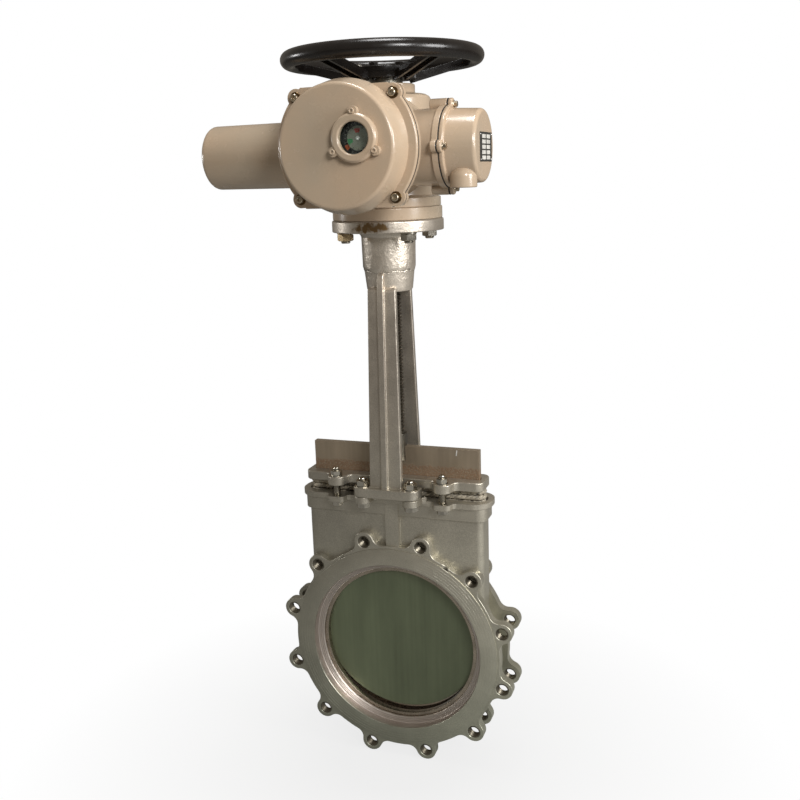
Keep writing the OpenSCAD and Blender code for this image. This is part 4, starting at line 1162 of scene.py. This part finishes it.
def ring_sector(inner, outer, start, end, steps=24):
    """A thin raised piece of a ring in the dial's plane, from start to end degrees clockwise from the top."""
    points = []
    for step in range(steps + 1):
        turn = math.radians(start + (end - start) * step / steps)
        for reach in (inner, outer):
            for out in (0, -print_t):
                points.append((reach * math.sin(turn), out, reach * math.cos(turn)))
    faces = [(0, 1, 3, 2), tuple(4 * steps + i for i in (0, 2, 3, 1))]
    for step in range(steps):
        here = 4 * step
        there = here + 4
        faces += [(here, there, there + 1, here + 1), (here + 1, there + 1, there + 3, here + 3),
                  (here + 3, there + 3, there + 2, here + 2), (here + 2, there + 2, there, here)]
    return points, faces


def printed(name, form, at, material, node):
    """A print on a node, its form moved to at without a turn."""
    fit_on(name, [([tuple(Vector(p) + at) for p in form[0]], form[1])], material, node, 30)


printed("red_field", ring_sector(disc_r * 0.45, disc_r * 0.80, -24, 16), disc_at, field_red, "indicator_disc")
printed("green_field", ring_sector(disc_r * 0.50, disc_r * 0.94, 236, 268), disc_at, field_green, "indicator_disc")
disc_ticks = gathered([ring_sector(disc_r * 0.84, disc_r * 0.95, turn - 1.6, turn + 1.6, steps=2)
                       for turn in range(30, 360, 30) if not 225 < turn < 275])
printed("disc_ticks", disc_ticks, disc_at, dial_black, "indicator_disc")
pivot_h = 0.0016
pivot = placed(socket_screw(0.0032, pivot_h, 0.001, 0.002), disc_at - Vector((0, pivot_h, 0)), (0, -1, 0))
fit_on("disc_pivot", [pivot], zinc_tin, "indicator_disc")
dial_at = Vector((disc_at.x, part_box("dial_plate")[0].y, disc_at.z))
printed("fixed_pointer", ring_sector(disc_r * 1.06, disc_r * 1.42, 228, 246), dial_at, pointer_orange, "dial_plate")
dial_ticks = gathered([ring_sector(disc_r * 1.16, disc_r * 1.32, turn - 1, turn + 1, steps=2)
                       for turn in range(0, 360, 15) if not 220 < turn < 255])
printed("dial_ticks", dial_ticks, dial_at, disc_grey, "dial_plate")

# Terminal box
# A round cast box on the right with a conduit boss below, on a gasket, held by four hexagon screws. The
# terminals stand on a moulded block inside.
eased("terminal_cover", enamel, 0.0022, 3)
eased("terminal_gasket", rubber, 0.0002, 1)
moulded_block = plain_finish("moulded_block", (0.030, 0.030, 0.028), 0.5, 400, 0.2, metallic=0.0)
eased("terminal_block", moulded_block, 0.0004)
terminal_head_h = 0.006
terminal_shank_r = 0.0025
terminal_screw_set = []
for low, high in solids_of("terminal_screws"):
    centre = (low + high) / 2
    radius = (high.y - low.y) / 2
    tip = low.x - high.x + terminal_head_h
    head = hexagon(radius * 1.74, 0, terminal_head_h, turned_low=False)
    shank = lathed([(0, tip), (terminal_shank_r, tip), (terminal_shank_r, 0)], 20)
    screw = gathered([head, shank, washer_ring(terminal_shank_r, radius * 1.2, 0.0012, 0)])
    at = (high.x - terminal_head_h, centre.y, centre.z)
    terminal_screw_set.append(placed(screw, at, (1, 0, 0), centre.z * 40))
stand_in("terminal_screw_set", terminal_screw_set, screw_pale, "terminal_screws")

# Data plate
# A small etched steel plate, dark, with two columns of five blank fields. Four rivets hold it to the end of
# the terminal box.
plate_low, plate_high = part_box("nameplate")
plate_steel = plain_finish("etched_plate", (0.060, 0.060, 0.055), 0.40, 500, 0.2, metallic=0.6)
field_steel = plain_finish("bare_plate_fields", (0.78, 0.76, 0.70), 0.40, 600, 0.15, metallic=0.2)
eased("nameplate", plate_steel, 0.0003)
field_t = 0.00012


def plate_pad(y_share, z_share, w_share, h_share):
    """A thin raised field on the plate, placed in shares of its width and height."""
    wide = plate_high.y - plate_low.y
    tall = plate_high.z - plate_low.z
    near_y = plate_low.y + wide * y_share
    far_y = near_y + wide * w_share
    foot_z = plate_low.z + tall * z_share
    head_z = foot_z + tall * h_share
    corners = [(near_y, foot_z), (far_y, foot_z), (far_y, head_z), (near_y, head_z)]
    points = [(plate_high.x + out, y, z) for out in (-0.0001, field_t) for y, z in corners]
    faces = [(4, 5, 6, 7)] + [(i, (i + 1) % 4, 4 + (i + 1) % 4, 4 + i) for i in range(4)]
    return points, faces


fields = [plate_pad(0.16 + 0.38 * column, 0.07 + 0.18 * row, 0.30, 0.13) for column in range(2) for row in range(5)]
fit_on("plate_fields", fields, field_steel, "nameplate", None)
rivet_r = 0.0017
rivet_inset = 0.0032
rivet_outline = [(rivet_r, -0.0002), (rivet_r * 0.8, 0.0005), (rivet_r * 0.45, 0.0008), (0, 0.0009)]
rivets = [placed(lathed(rivet_outline, 16), (plate_high.x, y, z), (1, 0, 0))
          for y in (plate_low.y + rivet_inset, plate_high.y - rivet_inset)
          for z in (plate_low.z + rivet_inset, plate_high.z - rivet_inset)]
fit_on("plate_rivets", rivets, bearing_steel, "nameplate", 40)

# Handwheel
# A round rim on five channel spokes, cast and coated in gloss black. A black plate and bolts hold its hub to
# the sleeve, one of them left bright.
wheel_black = plain_finish("gloss_black_enamel", (0.009, 0.007, 0.006), 0.26, 70, metallic=0.0, spots=(0.8, 1.2))
eased("handwheel", wheel_black, 0.0007)
eased("wheel_hub", wheel_black, 0.0010)
hub_head_h = 0.0055
hub_shank_r = 0.0035
hub_dark = []
hub_bright = []
for low, high in solids_of("hub_bolts"):
    seat = high.z - hub_head_h
    head = hexagon(high.x - low.x, seat, high.z, turned_low=False)
    shank = lathed([(0, low.z), (hub_shank_r, low.z), (hub_shank_r, seat)], 20)
    chosen = hub_bright if low.x < -0.02 and low.y < 0.03 else hub_dark
    chosen.append(placed(gathered([head, shank]), middle(low, high)))
stand_in("hub_bolt_set", hub_dark, wheel_black, "hub_bolts")
fit_on("bright_hub_bolt", hub_bright, bolt_steel, "hub_bolts")
